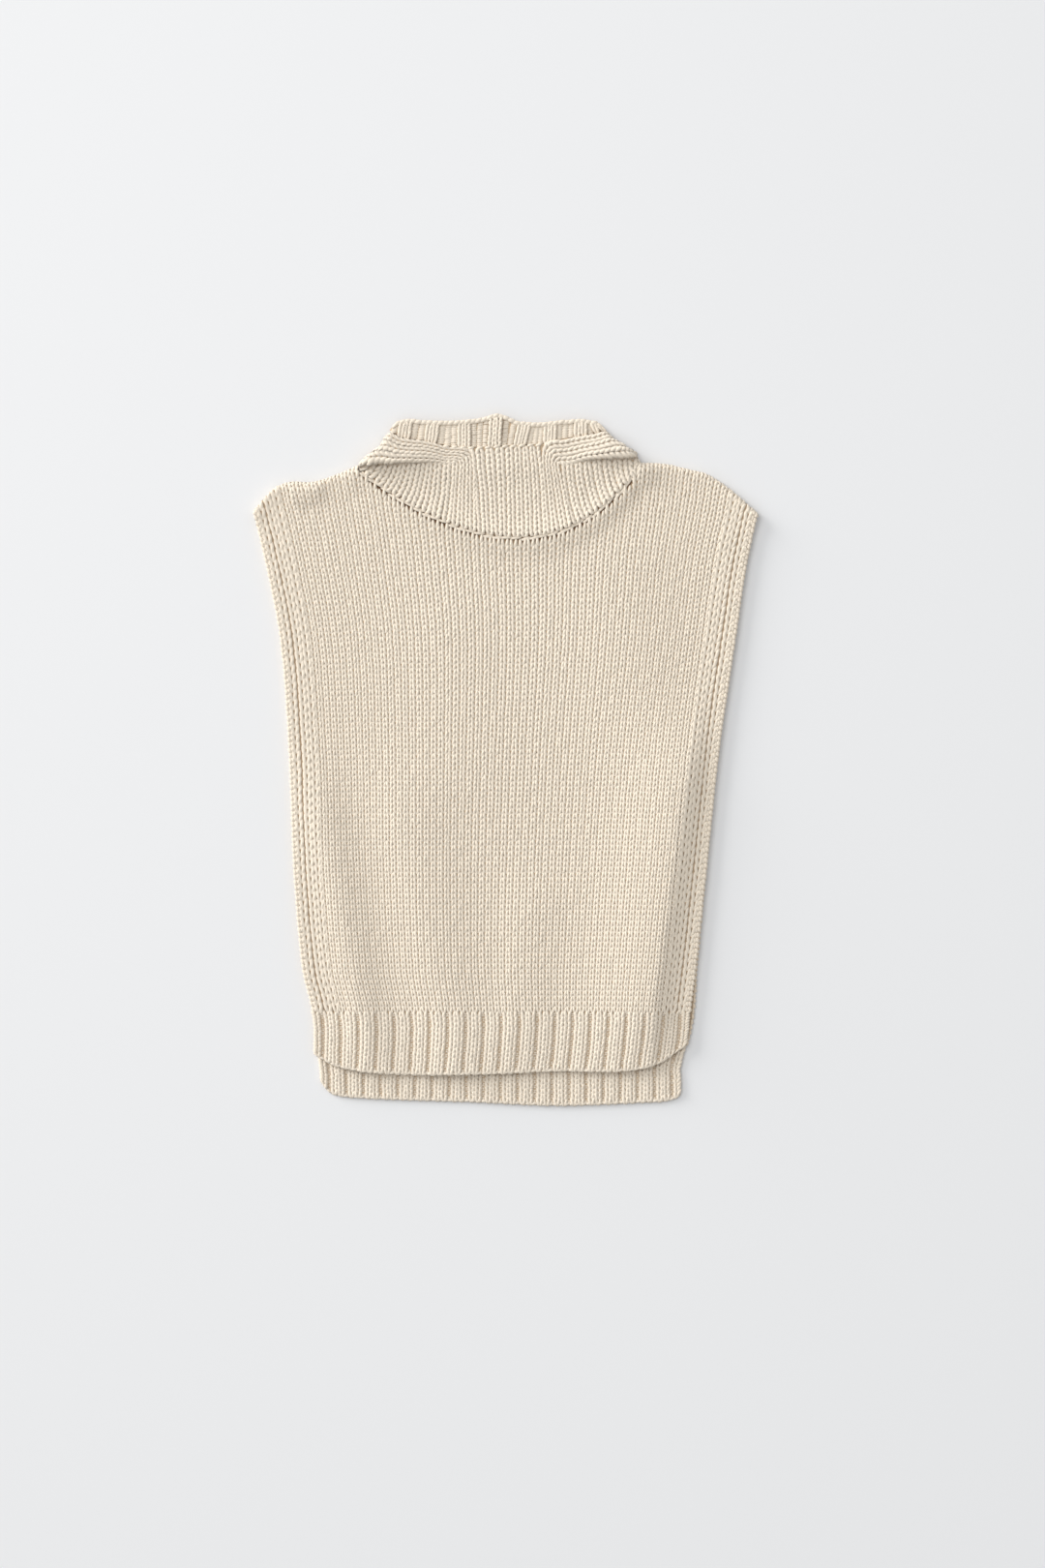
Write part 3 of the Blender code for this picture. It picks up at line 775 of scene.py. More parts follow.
# collar: a tube lying flat, whose front wales fan out under a tuck at each side
collar = {
    # height, left and right side along the inner face
    "sides": [(272.5, -135.2, 124), (281, -133, 123), (289.8, -128.5, 121.8), (295.3, -122, 116.5),
              (300.8, -116.5, 110), (306.4, -112.8, 100.5), (311.9, -107.5, 94), (323, -94, 77)],
    "bottomY": 272.5,
    "sideTopY": 311.0,
    "backTopY": 317.0,        # the back wall is this high, and slopes up to it from its ends
    "endSlope": 0.7,
    # the ridge between the front wall and the ribbed strip
    "ridge": [(-112, 314), (-101.2, 305.4), (-93.8, 303.6), (-75.4, 301.8), (-52.4, 296.7), (-29.4, 295.8),
              (-1.8, 297.2), (21.2, 298.1), (35, 299), (53.4, 303.6), (71.8, 306.4), (90.2, 310),
              (97, 314)],
    "crease": [(-138, 279.7), (-113.2, 281.5), (-99.4, 282.4), (-69.9, 283.4), (-47.8, 280.6), (0, 279.5),
               (52.4, 279.7), (62.6, 281.5), (72.7, 284.3), (87.4, 286.1), (113.2, 287), (124.2, 288)],
    "apex": {-1: (-47.8, 280.6), 1: (52.4, 279.7)},
    "tuckSide": {-1: -134.0, 1: 123.0},
    "tuckHeight": 8.0,
    "tuckSpread": 1.4,
    "tuckFall": 0.6,          # how much of its height it loses toward the collar's top
    "tuckRise": (2.0, 3.0),   # where it rises above the crease, and over how far
    "tuckReach": 92.0,        # how far its wales could run from the apex
    "tuckBend": (0.4, 0.54),  # the shares of a wale between which it goes round the apex
    "tuckSquare": 0.5,        # how square the outer wales turn
    "tuckSettle": 6.0,        # how soon they reach their own line
    "tuckEnd": 14.0,          # how far past the side they stop
    "lip": 1.6,               # how far it hangs over the crease
    "lipDrop": (2.6, 0.45, 0.1),              # how low its edge turns, its width in wales and its start
    "sideInset": (-3.0, 2.2, 281.0, 12.0),    # below and above a height, and how soon it changes
    "sideThin": 0.35,
    "sunkFoot": (0.02, 0.08), # the shell sinks next to the neckline, as shares of its height
    "foot": 1.3,              # where its stitches start above the neckline
    "footPull": 0.12,         # how far they draw together there
    "footFade": (1.0, 5.0),
    "fanOver": 4.0,           # how far they run on under the tuck
    "fanGuide": (0.85, 0.4),
    "middleGuide": 0.15,
    "middleEnd": 0.5,
    "backInset": 1.0,
    "evenness": 0.6,          # columns crowd toward the sides
    "columns": 32,
    "rows": 26,
    "rollSteps": 7,
    "pathSteps": 241,
    "wales": 30,
    "wale": 8.0,
    "course": 5.2,
    "seamLinks": 34,
    "seamWander": (0.8, 2.3), # how far the links stray, and how fast
    "ridgeLinks": (-56.0, 40.0, 8.0),
    "ridgeDrop": 0.3,
    "linkNarrow": 0.95,
}
# wale, where it leaves the neckline, and where it ends at a crease or the ridge
fanWales = [
    (0, -134.3, -125.1),
    (1, -125.1, -114.1),
    (2, -116.8, -104.9),
    (3, -108.6, -96.6),
    (5, -90.2, -79.1),
    (7, -70.8, -63.5),
    (9, -51.5, -46.9),
    (12, -26.7, -33.0),
    (16, 6.4, 4.2),
    (20, 39.6, 33.0),
    (23, 64.4, 53.4),
    (25, 81.0, 69.0),
    (27, 97.5, 86.5),
    (29, 113.2, 105.8),
    (30, 119.6, 115.9),
]
# the wales that turn at an apex, first and last, and where each is when level with it
bends = {-1: (9, 12, -46.9, -27.6), 1: (23, 20, 51.5, 35.0)}


def ridgeLine(x):
    return smoothValue(collar["ridge"], x)


def creaseLine(x):
    return smoothValue(collar["crease"], x)


def tuckLift(x, y, upper):
    # how far a tucked side stands up; upper is 0 below the crease and 1 above it
    lift = 0.0
    for side in (-1, 1):
        apexX = collar["apex"][side][0]
        share = (x - apexX) / (collar["tuckSide"][side] - apexX)
        crease = creaseLine(x)
        falling = 1 - collar["tuckFall"] * ease((y - crease) / (ridgeLine(x) - crease))
        lift = lift + collar["tuckHeight"] * ease(share * collar["tuckSpread"]) * upper * falling
    return lift


def collarUnder(x, y):
    start, rise = collar["tuckRise"]
    return frontUnder(x, y) + tuckLift(x, y, ease((y - creaseLine(x) - start) / rise + 0.5))


def collarHigh(x, y):
    return frontUnder(x, y) + tuckLift(x, y, 1.0)


def sideX(y, side):
    return smoothValue(collar["sides"], y, 1 if side < 0 else 2)


def sideOutward(y, side):
    slope = (sideX(y + 1.0, side) - sideX(y - 1.0, side)) / 2
    long = np.sqrt(1 + slope ** 2)
    return side / long, -side * slope / long


def sideInset(y):
    low, high, start, run = collar["sideInset"]
    return mix(low, high, ease((y - start) / run))


def overSide(x, y, above, under):
    # a place on the front wall, carried over the rolled sides where it reaches them
    points = onSurface(x, y, above, under)
    for side in (-1, 1):
        outX, outY = sideOutward(y, side)
        edge = sideX(y, side)
        beyond = (x - edge) * outX
        radius = (under(edge, y) - cloth["thickness"]) / 2
        past = beyond + radius
        bent = radius + cloth["thickness"]
        angle = np.clip(past / bent, 0, math.pi)
        startX, startY = x - past * outX, y - past * outY
        reach = np.sin(angle) * (radius + above - sideInset(y)) - np.maximum(past - math.pi * bent, 0)
        rolled = np.stack([
            startX + outX * reach,
            startY + outY * reach,
            cloth["thickness"] + radius + np.cos(angle) * (radius + above),
        ], -1)
        points = np.where((past > 0)[..., None], rolled, points)
    return points


def neckPart(step):
    even = step / collar["columns"]
    return mix(even, (1 - math.cos(math.pi * even)) / 2, collar["evenness"])


def topX(share):
    # from the left to the right end of the collar's top
    return mix(sideX(collar["sideTopY"], -1), sideX(collar["sideTopY"], 1), share)


def atNeck(share):
    return betweenBands(frontEdges, mix(neckBounds[1], neckBounds[2], share))


def backHead(x):
    fromSide = np.minimum(x - topX(0), topX(1) - x)
    return np.minimum(collar["sideTopY"] + collar["endSlope"] * fromSide, collar["backTopY"])


def wallLine(share, outline, head, radii):
    # (x, y) across one wall of the tube, from its left side to its right
    line = []
    for step in range(collar["columns"] + 1):
        xAt = atNeck(neckPart(step))
        seamY = topOf(outline, xAt)
        headX = topX(neckPart(step))
        line.append([mix(xAt(seamY), headX, share), mix(seamY, head(headX), share)])
    sideY = mix(collar["bottomY"], collar["sideTopY"], share)
    for side, end in ((-1, 0), (1, -1)):
        outX, outY = sideOutward(sideY, side)
        line[end] = [sideX(sideY, side) - outX * radii[side], sideY - outY * radii[side]]
    return np.array(line, float)


def collarRing(share, heights):
    # one round of the tube: front wall, right side, back wall, left side
    start, fade = collar["sunkFoot"]
    heights = (heights[0], mix(body["seamShell"], heights[1], ease((share - start) / fade)))
    sideY = mix(collar["bottomY"], collar["sideTopY"], share)
    unders = {side: float(collarUnder(sideX(sideY, side), sideY)) for side in (-1, 1)}
    radii = {side: (under - cloth["thickness"]) / 2 for side, under in unders.items()}
    front = wallLine(share, neckline, ridgeLine, radii)
    back = wallLine(share, backNeckline, backHead, radii)[::-1]
    angle = math.pi * np.arange(1, collar["rollSteps"]) / collar["rollSteps"]

    def roll(side, height):
        outX, outY = sideOutward(sideY, side)
        reach = np.sin(angle) * (radii[side] + height * collar["sideThin"] - sideInset(sideY)) - radii[side]
        up = cloth["thickness"] + radii[side] + np.cos(angle) * (radii[side] + height)
        return np.stack([sideX(sideY, side) + outX * reach, sideY + outY * reach, up], -1)

    walls = [np.concatenate([
        onSurface(front[:, 0], front[:, 1], height, collarUnder),
        roll(1, height),
        np.insert(back, 2, cloth["thickness"] - height, 1),
        roll(-1, height)[::-1],
    ]) for height in heights]
    ring = np.stack(walls, 1)
    return np.concatenate([ring, ring[:1]])


def collarShell():
    rings = [collarRing(row / collar["rows"], body["shell"]) for row in range(collar["rows"] + 1)]
    return gather([np.array(column) for column in zip(*rings)], "collarCloth", ring=True)


def curve(start, guide, end, t):
    return start * (1 - t) ** 2 + 2 * guide * t * (1 - t) + end * t * t


def neckFoot(wale):
    # where a wale leaves the neckline
    x = smoothValue(fanWales, wale, 1)
    return x, neckline(x) + collar["foot"]


def fanPath(wale, t):
    # up from the neckline, leaning toward the crease
    x0, y0 = neckFoot(wale)
    x1 = smoothValue(fanWales, wale, 2)
    y1 = creaseLine(x1) + collar["fanOver"]
    guideX, guideY = collar["fanGuide"]
    return curve(x0, mix(x0, x1, guideX), x1, t), curve(y0, mix(y0, y1, guideY), y1, t)


def middlePath(wale, t):
    # straight up to the ridge
    x0, y0 = neckFoot(wale)
    x1 = smoothValue(fanWales, wale, 2)
    y1 = ridgeLine(x1) - collar["middleEnd"]
    return curve(x0, mix(x0, x1, collar["middleGuide"]), x1, t), mix(y0, y1, t)


def bendPath(side):
    first, last, innerX, outerX = bends[side]
    apexX, apexY = collar["apex"][side]
    bendStart, bendEnd = collar["tuckBend"]

    def path(wale, t):
        # up beside the apex, round it, and out along the tuck to the collar's side
        part = (wale - first) / (last - first)
        x0, y0 = neckFoot(wale)
        besideX = mix(innerX, outerX, part)
        up = np.clip(t / bendStart, 0, 1)
        turn = np.clip((t - bendStart) / (bendEnd - bendStart), 0, 1) * math.pi / 2
        out = np.clip((t - bendEnd) / (1 - bendEnd), 0, 1)
        rise = (ridgeLine(np.full(np.shape(part), apexX)) - apexY) * part
        upX, upY = curve(x0, mix(x0, besideX, 0.5), besideX, up), mix(y0, apexY, up)
        square = mix(1.0, collar["tuckSquare"], part)
        turnX = apexX + (besideX - apexX) * np.abs(np.cos(turn)) ** square
        turnY = apexY + rise * np.abs(np.sin(turn)) ** square
        outX = apexX + side * out * collar["tuckReach"]
        outY = mix(creaseLine(outX) - collar["lip"], ridgeLine(outX), part)
        outY = mix(apexY + rise, outY, ease(out * collar["tuckSettle"]))
        x = np.where(t < bendStart, upX, np.where(t < bendEnd, turnX, outX))
        y = np.where(t < bendStart, upY, np.where(t < bendEnd, turnY, outY))
        return x, y
    return path


def layLow(x, y, above, wale, t):
    return overSide(x, y, above, frontUnder)


def layMiddle(x, y, above, wale, t):
    return onSurface(x, y, above, collarHigh)


def layBend(side):
    drop, width, start = collar["lipDrop"]

    def lay(x, y, above, wale, t):
        # the tuck's lower edge turns down
        fromEdge = np.abs(wale - bends[side][0])
        pastBend = ease((t - collar["tuckBend"][1]) / start)
        points = overSide(x, y, above, collarHigh)
        points[:, 2] -= drop * np.clip(1 - fromEdge / width, 0, 1) ** 2 * pastBend
        return points
    return lay


def lengthAlong(x, y):
    return np.concatenate([[0.0], np.cumsum(np.hypot(np.diff(x), np.diff(y)))])


def knitWales(name, wales, path, lay, stop=None):
    # stitches along wales that follow a path; stop ends a wale at a share of its length
    grid = np.linspace(0, 1, collar["pathSteps"])
    lengths = {}
    places = []
    for wale in wales:
        run = lengthAlong(*path(np.full(grid.shape, wale + 0.5), grid))
        lengths[wale] = run
        long = run[-1] if stop is None else np.interp(stop(wale), grid, run)
        count = max(int(round(long / collar["course"])), 1)
        places += [(wale + 0.5, row * long / count) for row in range(count)]
    start, fade = collar["footFade"]

    def laid(owner, beside, along, above):
        run = owner[:, 1] + along
        narrowed = 1 - collar["footPull"] * (1 - ease((run - start) / fade))
        wale = owner[:, 0] + beside / collar["wale"] * narrowed
        t = np.empty(len(run))
        for own, known in lengths.items():
            mine = owner[:, 0] == own + 0.5
            t[mine] = np.interp(run[mine], known, grid)
        x, y = path(wale, t)
        return lay(x, y, above, wale, t)
    return knit(name, stitches["collar"], places, laid)


def tuckEnd(side):
    path = bendPath(side)

    def stop(wale):
        # where a wale has gone just past the rolled side
        grid = np.linspace(collar["tuckBend"][1], 1, 60)
        x, y = path(np.full(grid.shape, wale + 0.5), grid)
        gone = np.nonzero((x - sideX(y, side)) * side > collar["tuckEnd"])[0]
        return grid[gone[0]] if len(gone) else 1.0
    return stop


hollowShading = {
    # painted shade on the cloth behind the yarn, deepest in its holes: start and reach of each change
    "seam": (1.5, 5.0),       # beside the picked-up row
    "ends": 9.0,              # fading toward the neckline's ends
    "middle": (0.4, 12.0, 20.0),    # and less in its middle, whose stitches close up
    "band": (5.0, 3.0),       # beside a side band
}


# painted shade: mixes a shell's colour toward the dark of a deep hole
def paintShade(shell, hollowShade):
    values = np.broadcast_to(hollowShade, len(shell.data.vertices)).astype(np.float32)
    shell.data.attributes.new("hollowShade", "FLOAT", "POINT").data.foreach_set("value", values)


# painted shade in the holes beside the neckline and along the front's band seams
def paintShadeBySeam(shell):
    points = np.empty(len(shell.data.vertices) * 3)
    shell.data.vertices.foreach_get("co", points)
    x, y, z = points.reshape(-1, 3).T / mm
    isFront = z > cloth["thickness"]
    start, reach = hollowShading["seam"]
    seam = (1 - ease((np.abs(y - neckline(x)) - start) / reach)) * isFront
    seam *= ease(np.minimum(x - neck["left"], neck["right"] - x) / hollowShading["ends"])
    least, start, reach = hollowShading["middle"]
    fromMiddle = np.abs(x - (neck["left"] + neck["right"]) / 2)
    seam *= mix(least, 1, ease((fromMiddle - start) / reach))
    start, reach = hollowShading["band"]
    left, right = (smoothValue(frontEdges, y, field) for field in (1, 2))
    inside = np.minimum(x - left, right - x) - cloth["bandWidth"]
    band = (1 - ease((inside - start) / reach)) * bands["hollowShade"] * isFront
    paintShade(shell, np.maximum(seam, band))


collarCloth = collarShell()
paintShadeBySeam(collarCloth)
paintShadeBySeam(frontCloth)
for pieces, hollowShade in ((bandPieces, bands["hollowShade"]), (hemPieces, ribs["hollowShade"])):
    for shell, knits in pieces.values():
        paintShade(shell, hollowShade)
collarKnit = [
    knitWales("collarFanLeft", range(-1, 9), fanPath, layLow),
    knitWales("collarFanRight", range(23, 32), fanPath, layLow),
    knitWales("collarMiddle", range(12, 20), middlePath, layMiddle),
    knitWales("collarTuckLeft", range(9, 12), bendPath(-1), layBend(-1), tuckEnd(-1)),
    knitWales("collarTuckRight", range(20, 23), bendPath(1), layBend(1), tuckEnd(1)),
]


def seamStitches():
    # the row picked up along the neckline
    xs = np.linspace(neck["left"], neck["right"], 400)
    ys = neckline(xs)
    run = lengthAlong(xs, ys)
    stray, pace = collar["seamWander"]

    def lay(owner, beside, along, above):
        at = owner[:, 0] + beside
        x, y = np.interp(at, run, xs), np.interp(at, run, ys)
        slope = (neckline(x + 1) - neckline(x - 1)) / 2
        across = (along + stray * np.sin(owner[:, 0] * pace)) / np.sqrt(1 + slope ** 2)
        return onSurface(x - slope * across, y + across, above, frontUnder)
    places = [(run[-1] * (link + 0.5) / collar["seamLinks"], 0.0) for link in range(collar["seamLinks"])]
    return knit("collarSeam", stitches["chain"], places, lay)


def ridgeStitches():
    # the links along the top of the front wall
    def lay(owner, beside, along, above):
        x = owner[:, 0] + beside * collar["linkNarrow"]
        return onSurface(x, ridgeLine(x) + along - collar["ridgeDrop"], above, collarHigh)
    places = [(x, 0.0) for x in np.arange(*collar["ridgeLinks"])]
    return knit("collarRidge", stitches["castOn"], places, lay)


def backWallStitches():
    # straight wales on the wall that lies on the floor
    def path(wale, t):
        xAt = atNeck(wale / collar["wales"])
        foot = backNeckline(xAt(neck["backY"])) + collar["backInset"]
        headX = topX(wale / collar["wales"])
        return mix(xAt(foot), headX, t), mix(foot, backHead(headX) - collar["backInset"], t)

    places = []
    for wale in range(collar["wales"]):
        (x0, x1), (y0, y1) = path(wale + 0.5, np.array([0.0, 1.0]))
        long = math.hypot(x1 - x0, y1 - y0)
        count = max(int(round(long / cloth["course"])), 1)
        places += [(wale + 0.5, row / count, long) for row in range(count)]

    def lay(owner, beside, along, above):
        x, y = path(owner[:, 0] + beside / collar["wale"], np.clip(owner[:, 1] + along / owner[:, 2], 0, 1))
        return np.stack([x, y, cloth["thickness"] - above], -1)
    return knit("collarBack", stitches["under"], places, lay, facing=-1)


collarKnit += [seamStitches(), ridgeStitches(), backWallStitches()]

# the collar's ribbed top, two by two
strip = {
    # middle of each knit rib at its foot and head
    "ribs": [(-96.6, -93.8), (-70.8, -68.0), (-38.6, -38.6), (-10.2, -8.4), (13.8, 18.4), (42.3, 43.2),
             (71.8, 71.8), (90.5, 87.0)],
    "wale": 6.2,
    "stitchWidth": 6.6,
    "courses": 6,
    "top": [(-109, 316), (-103, 320.5), (-92, 323), (-75, 321.5), (-52, 321.5), (-29, 323), (-14.7, 326),
            (-7.4, 328), (0, 326), (7.4, 323), (14.7, 320.5), (36.8, 319.8), (51.5, 321.5), (73.6, 323),
            (81, 321.5), (88.3, 320), (95.7, 313)],
    "raised": 1.0,
    "join": 3,                # the rib over the round's join stands higher
    "joinLift": 1.2,
    "endPurls": [(-106.2, -101.8)],
    "ends": ((-109.5, -104.0), (93.0, 88.5)),
    "inset": (0.5, 3.0),      # of its stitches from the ridge and from its top
    "longest": 1.08,
    "shellInset": 1.0,
    "shellColumns": 48,
    "shellRows": 6,
    "base": 3.8,              # it lies on the back wall
    "castOff": (-103.0, 92.0, 5.2),
    "castOffNarrow": 0.95,
    "castOffSlant": 1.2,
    "castOffDrop": 1.9,
    "castOffLift": 1.0,
}


def stripTop(x):
    return smoothValue(strip["top"], x)


def stripColumns():
    # foot x, head x, kind (1 knit, 0 purl), lift and width of every column of stitches
    wale = strip["wale"]
    columns = [(foot, head, 0.0, 0.0, wale) for foot, head in strip["endPurls"]]
    for index, (foot, head) in enumerate(strip["ribs"]):
        lift = strip["joinLift"] if index == strip["join"] else 0.0
        columns += [(foot + side, head + side, 1.0, lift, wale) for side in (-wale / 2, wale / 2)]
        if index + 1 < len(strip["ribs"]):
            nextFoot, nextHead = strip["ribs"][index + 1]
            gap = nextFoot - foot - 2 * wale
            count = max(int(round(gap / wale)), 1)
            for place in range(count):
                share = (place + 0.5) / count
                purlFoot = mix(foot + wale, nextFoot - wale, share)
                purlHead = mix(head + wale, nextHead - wale, share)
                columns.append((purlFoot, purlHead, 0.0, 0.0, gap / count))
    return columns


def layStrip(owner, beside, along, above):
    foot, head, raised, lift, width = stripTable[owner[:, 0].astype(int)].T
    low, high = ridgeLine(foot) + strip["inset"][0], stripTop(head) - strip["inset"][1]
    t = np.minimum(owner[:, 1] + along / (high - low), strip["longest"])
    x = mix(foot, head, t) + beside * width / strip["stitchWidth"]
    rise = raised * strip["raised"] + lift * bell(t - 0.5, 0.5)
    return np.stack([x, mix(low, high, t), strip["base"] + above + rise], -1)


def stripShell():
    columns = []
    inset = strip["shellInset"]
    t = np.linspace(0, 1, strip["shellRows"])
    for share in np.linspace(0, 1, strip["shellColumns"]):
        foot, head = (mix(left, right, share) for left, right in zip(*strip["ends"]))
        x, y = mix(foot, head, t), mix(ridgeLine(foot) + inset, stripTop(head) - inset, t)
        wall = [np.stack([x, y, np.full(len(t), strip["base"] + h)], -1) for h in body["shell"]]
        columns.append(np.stack(wall, 1))
    return gather(columns, "collarRibCloth")


def stripStitches(name, stitch, isKnit):
    rows = np.arange(strip["courses"]) / strip["courses"]
    wales = [index for index, column in enumerate(stripTable) if (column[2] > 0) == isKnit]
    return knit(name, stitches[stitch], [(wale, row) for wale in wales for row in rows], layStrip)


def castOffStitches():
    def lay(owner, beside, along, above):
        x = owner[:, 0] + beside * strip["castOffNarrow"]
        y = stripTop(x) + along * strip["castOffSlant"] - strip["castOffDrop"]
        return np.stack([x, y, strip["base"] + strip["castOffLift"] + above], -1)
    return knit("collarCastOff", stitches["castOff"], [(x, 0.0) for x in np.arange(*strip["castOff"])], lay)


stripTable = np.array(stripColumns())
stripCloth = stripShell()
stripKnit = [
    stripStitches("collarRibKnit", "rib", True),
    stripStitches("collarRibPurl", "purl", False),
    castOffStitches(),
]
print("collar knitted")


# finishes
class Value:
    # a socket with arithmetic
    def __init__(self, finish, socket):
        self.finish = finish
        self.socket = socket

    def maths(self, operation, first, second):
        node = self.finish.node("ShaderNodeMath", {"operation": operation}, {0: first, 1: second})
        return Value(self.finish, node.outputs[0])

    def __add__(self, other):
        return self.maths("ADD", self, other)

    def __sub__(self, other):
        return self.maths("SUBTRACT", self, other)

    def __rsub__(self, other):
        return self.maths("SUBTRACT", other, self)

    def __mul__(self, other):
        return self.maths("MULTIPLY", self, other)

    __radd__ = __add__
    __rmul__ = __mul__


class Finish:
    # a material and its nodes
    def __init__(self, name, settings):
        self.material = bpy.data.materials.new(name)
        self.material.use_nodes = True
        self.nodes = self.material.node_tree.nodes
        self.links = self.material.node_tree.links
        self.shader = self.nodes["Principled BSDF"]
        for socket, value in settings.items():
            self.shader.inputs[socket].default_value = value

    def node(self, kind, settings=None, inputs=None):
        node = self.nodes.new(kind)
        for key, value in (settings or {}).items():
            setattr(node, key, value)
        for key, value in (inputs or {}).items():
            self.feed(node.inputs[key], value)
        return node

    def feed(self, socket, value):
        if isinstance(value, Value):
            self.links.new(value.socket, socket)
        elif isinstance(value, bpy.types.NodeSocket):
            self.links.new(value, socket)
        else:
            socket.default_value = value

    def value(self, socket):
        return Value(self, socket)

    def measured(self, name):
        # a value kept on the mesh
        return self.value(self.node("ShaderNodeAttribute", {"attribute_name": name}).outputs["Fac"])

    def blended(self, amount, first, second):
        mixed = self.node("ShaderNodeMix", {"data_type": "RGBA", "clamp_factor": True},
                          {0: amount, 6: first, 7: second})
        return mixed.outputs[2]


yarn = {
    # the yarn's own colour; the next three are painted shade: on the yarn's low parts (mixed there with its
    # darker tone), on the cloth between stitches, and in its deepest holes
    "colour": (0.80, 0.705, 0.58, 1.0),
    "shadeAndDarkTone": (0.78, 0.655, 0.505, 1.0),
    "shadeBehindYarn": (0.58, 0.44, 0.295, 1.0),
    "hollowShade": (0.19, 0.1, 0.045, 1.0),
    "roughness": 0.88,
    "sheen": 0.25,
    "shadeBelowHeight": 1.0,      # in millimetres, below which painted shade on the yarn grows
    "shadeByHeight": 0.8,          # how much of the colour comes from each cause: by height it is painted shade, the rest is the yarn's own tone
    "byStitch": 0.12,
    "byCloud": 0.25,
    "byFibre": 0.3,
    "cloudScale": 9.0,
    "fibreScale": 900.0,
    "plies": 3.0,             # ridges round a leaf of yarn, and along it
    "twists": 4.0,
    "onePerUnit": 0.314,      # the wave's scale that gives one ridge for each unit
    "relief": (0.7, 0.6),     # of the plies and of the fibres
    "bump": 0.4,
    "bumpHeight": 0.0004,
}


def yarnFinish(name):
    finish = Finish(name, {
        "Roughness": yarn["roughness"],
        "Sheen Weight": yarn["sheen"],
        "Sheen Roughness": 0.5,
        "Specular IOR Level": 0.25,
    })
    place = finish.node("ShaderNodeTexCoord").outputs["Object"]

    def noise(scale, detail):
        node = finish.node("ShaderNodeTexNoise", None, {"Vector": place, "Scale": scale, "Detail": detail})
        return finish.value(node.outputs[0])

    cloud = noise(yarn["cloudScale"], 3.0)
    fibre = noise(yarn["fibreScale"], 4.0)
    # painted shade: the yarn darkens toward the low parts of each stitch, where the stitches shade each
    # other
    amount = (finish.measured("depth") - yarn["shadeBelowHeight"]) * yarn["shadeByHeight"]
    amount = amount + (finish.measured("tone") - 0.5) * yarn["byStitch"]
    amount = amount + (cloud - 0.5) * yarn["byCloud"] + (fibre - 0.5) * yarn["byFibre"]
    finish.feed(finish.shader.inputs["Base Color"], finish.blended(amount, yarn["shadeAndDarkTone"], yarn["colour"]))
    along = finish.node("ShaderNodeUVMap", {"uv_map": "yarn"})
    split = finish.node("ShaderNodeSeparateXYZ", None, {0: along.outputs[0]})
    turns = finish.value(split.outputs[0]) * yarn["plies"] + finish.value(split.outputs[1]) * yarn["twists"]
    across = finish.node("ShaderNodeCombineXYZ", None, {0: turns})
    plies = finish.node("ShaderNodeTexWave", {"wave_type": "BANDS", "bands_direction": "X"}, {
        "Vector": across.outputs[0], "Scale": yarn["onePerUnit"], "Distortion": 0.6, "Detail": 1.0})
    ofPlies, ofFibre = yarn["relief"]
    relief = finish.value(plies.outputs["Fac"]) * ofPlies + fibre * ofFibre
    bump = finish.node("ShaderNodeBump", None, {
        "Strength": yarn["bump"], "Distance": yarn["bumpHeight"], "Height": relief})
    finish.feed(finish.shader.inputs["Normal"], bump.outputs[0])
    return finish.material


def clothFinish(name):
    # painted shade: the cloth seen between the stitches is a darker tan than the yarn, and dark brown in
    # its deepest holes
    finish = Finish(name, {"Roughness": 0.95})
    colour = finish.blended(finish.measured("hollowShade"), yarn["shadeBehindYarn"], yarn["hollowShade"])
    finish.feed(finish.shader.inputs["Base Color"], colour)
    return finish.material


yarnMaterial = yarnFinish("ecruYarn")
clothMaterial = clothFinish("paintedShadeBehindYarn")


def dress(node, shell, knits):
    # the cloth and its stitches stand for one piece of the model
    for piece in knits:
        piece.data.materials.clear()
        piece.data.materials.append(yarnMaterial)
    shell.data.materials.append(clothMaterial)
    for piece in [shell] + knits:
        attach(piece, "root")
        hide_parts(node)
    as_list(knits)


dress("front_panel", frontCloth, frontKnit)
dress("back_panel", backCloth, backKnit)
dress("collar", collarCloth, collarKnit)
dress("collar_rib", stripCloth, stripKnit)
for node, (shell, knits) in list(bandPieces.items()) + list(hemPieces.items()):
    dress(node, shell, knits)
print("cloth and yarn finished")

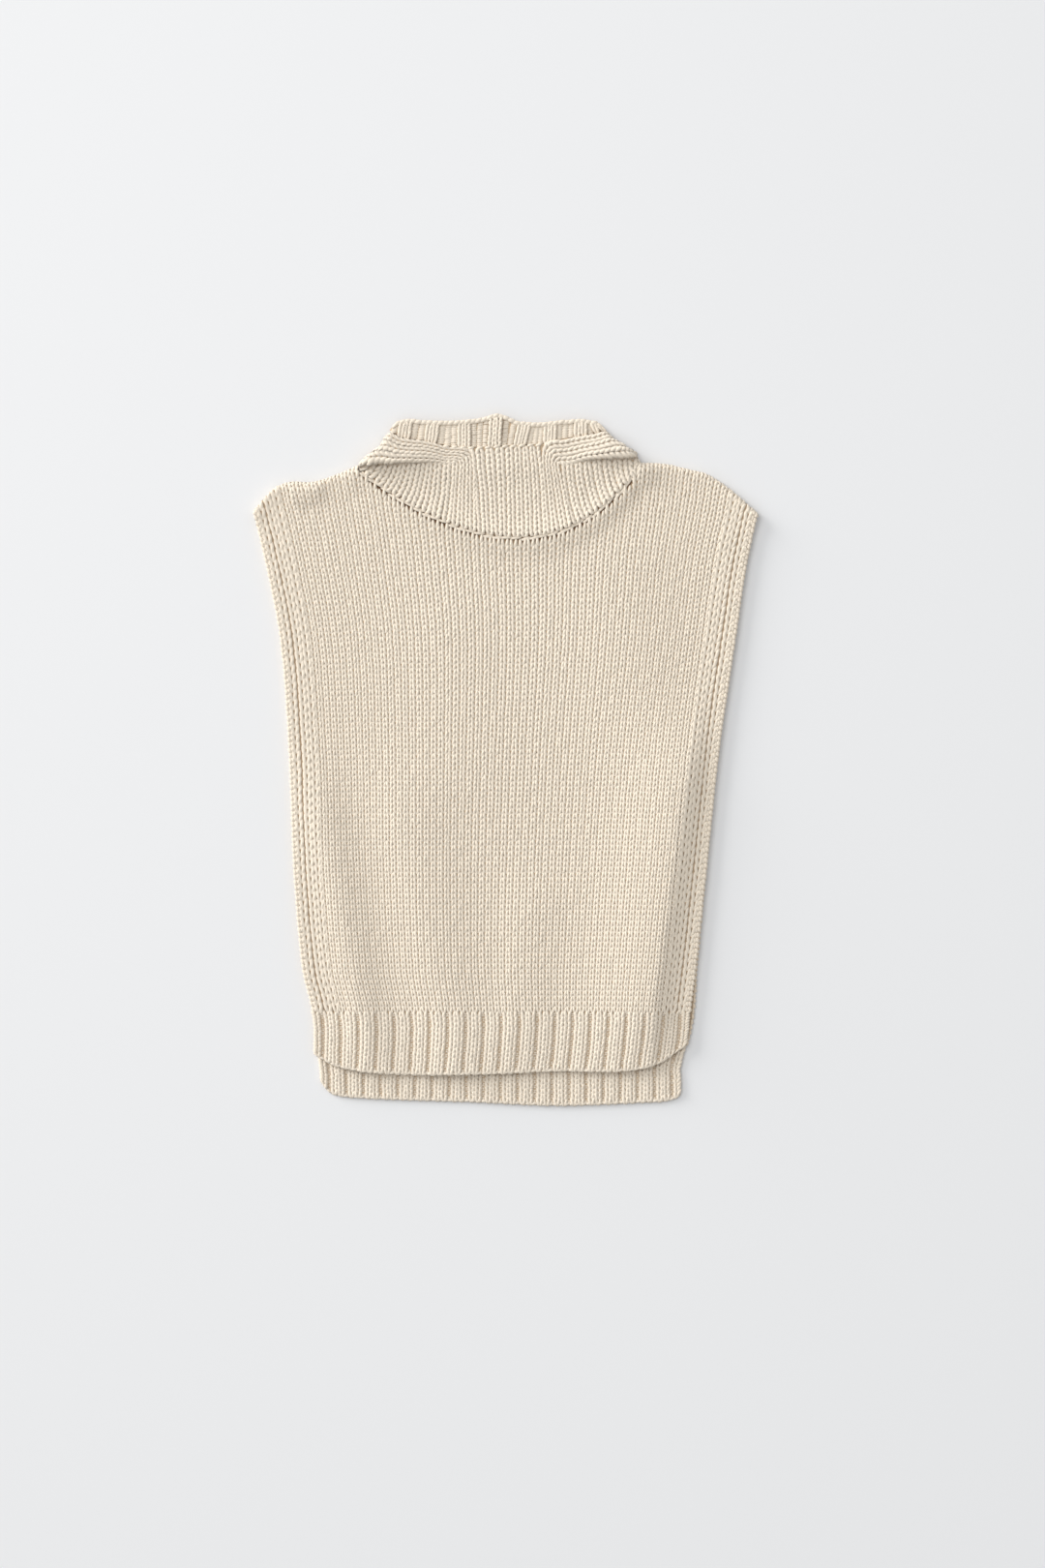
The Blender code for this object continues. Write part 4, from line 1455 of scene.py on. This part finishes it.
# floor, light and camera
studio = {
    "viewWidth": 993.6,
    "aim": (16.6, -23.0),
    "cameraHeight": 3000.0,
    "sensor": 36.0,
    "floor": (0.81, 0.81, 0.812, 1.0),
    "floorSize": 4.0,         # in metres, like the places below
    "floorDrop": -0.0005,     # just under the garment, so that the two don't flicker
    "windowStrength": 2.7,
    "windowHeight": 14.5,     # degrees above the floor
    "windowTurn": 32.0,       # degrees from due left, toward the collar
    "windowSpread": 30.0,
    "overhead": (-1.4, 1.1, 3.2),
    "overheadAim": (-0.2, 0.1, 0.0),
    "overheadSize": 2.0,
    "overheadPower": 42.0,
    "sky": (0.97, 0.985, 1.0, 1.0),
    "skyStrength": 0.585,
}

floorShape = bmesh.new()
bmesh.ops.create_grid(floorShape, x_segments=8, y_segments=8, size=studio["floorSize"])
bmesh.ops.translate(floorShape, verts=floorShape.verts, vec=(0, 0, studio["floorDrop"]))
floor = finishPiece(floorShape, "floor")
paper = Finish("palePaper", {"Base Color": studio["floor"], "Roughness": 0.9, "Specular IOR Level": 0.1})
floor.data.materials.append(paper.material)


def addLight(name, kind, toLight, settings):
    # a lamp that shines from a direction
    lamp = bpy.data.lights.new(name, kind)
    for key, value in settings.items():
        setattr(lamp, key, value)
    light = bpy.data.objects.new(name, lamp)
    bpy.context.scene.collection.objects.link(light)
    light.rotation_euler = toLight.to_track_quat("Z", "Y").to_euler()
    return light


height, turn = (math.radians(studio[key]) for key in ("windowHeight", "windowTurn"))
toWindow = Vector((-math.cos(height) * math.cos(turn), math.cos(height) * math.sin(turn), math.sin(height)))
addLight("window", "SUN", toWindow, {
    "energy": studio["windowStrength"], "angle": math.radians(studio["windowSpread"])})
toOverhead = Vector(studio["overhead"]) - Vector(studio["overheadAim"])
overhead = addLight("overhead", "AREA", toOverhead, {
    "energy": studio["overheadPower"], "size": studio["overheadSize"]})
overhead.location = studio["overhead"]
world = bpy.data.worlds.new("studio")
world.use_nodes = True
sky = world.node_tree.nodes["Background"].inputs
sky["Color"].default_value = studio["sky"]
sky["Strength"].default_value = studio["skyStrength"]
bpy.context.scene.world = world
bpy.context.scene.view_settings.view_transform = "Standard"

cameraData = bpy.data.cameras.new("camera")
cameraData.sensor_fit = "HORIZONTAL"
cameraData.sensor_width = studio["sensor"]
cameraData.lens = studio["sensor"] * studio["cameraHeight"] / studio["viewWidth"]
cameraData.clip_end = 20.0
camera = bpy.data.objects.new("camera", cameraData)
camera.location = [value * mm for value in (*studio["aim"], studio["cameraHeight"])]
bpy.context.scene.collection.objects.link(camera)
bpy.context.scene.camera = camera
print("studio set")
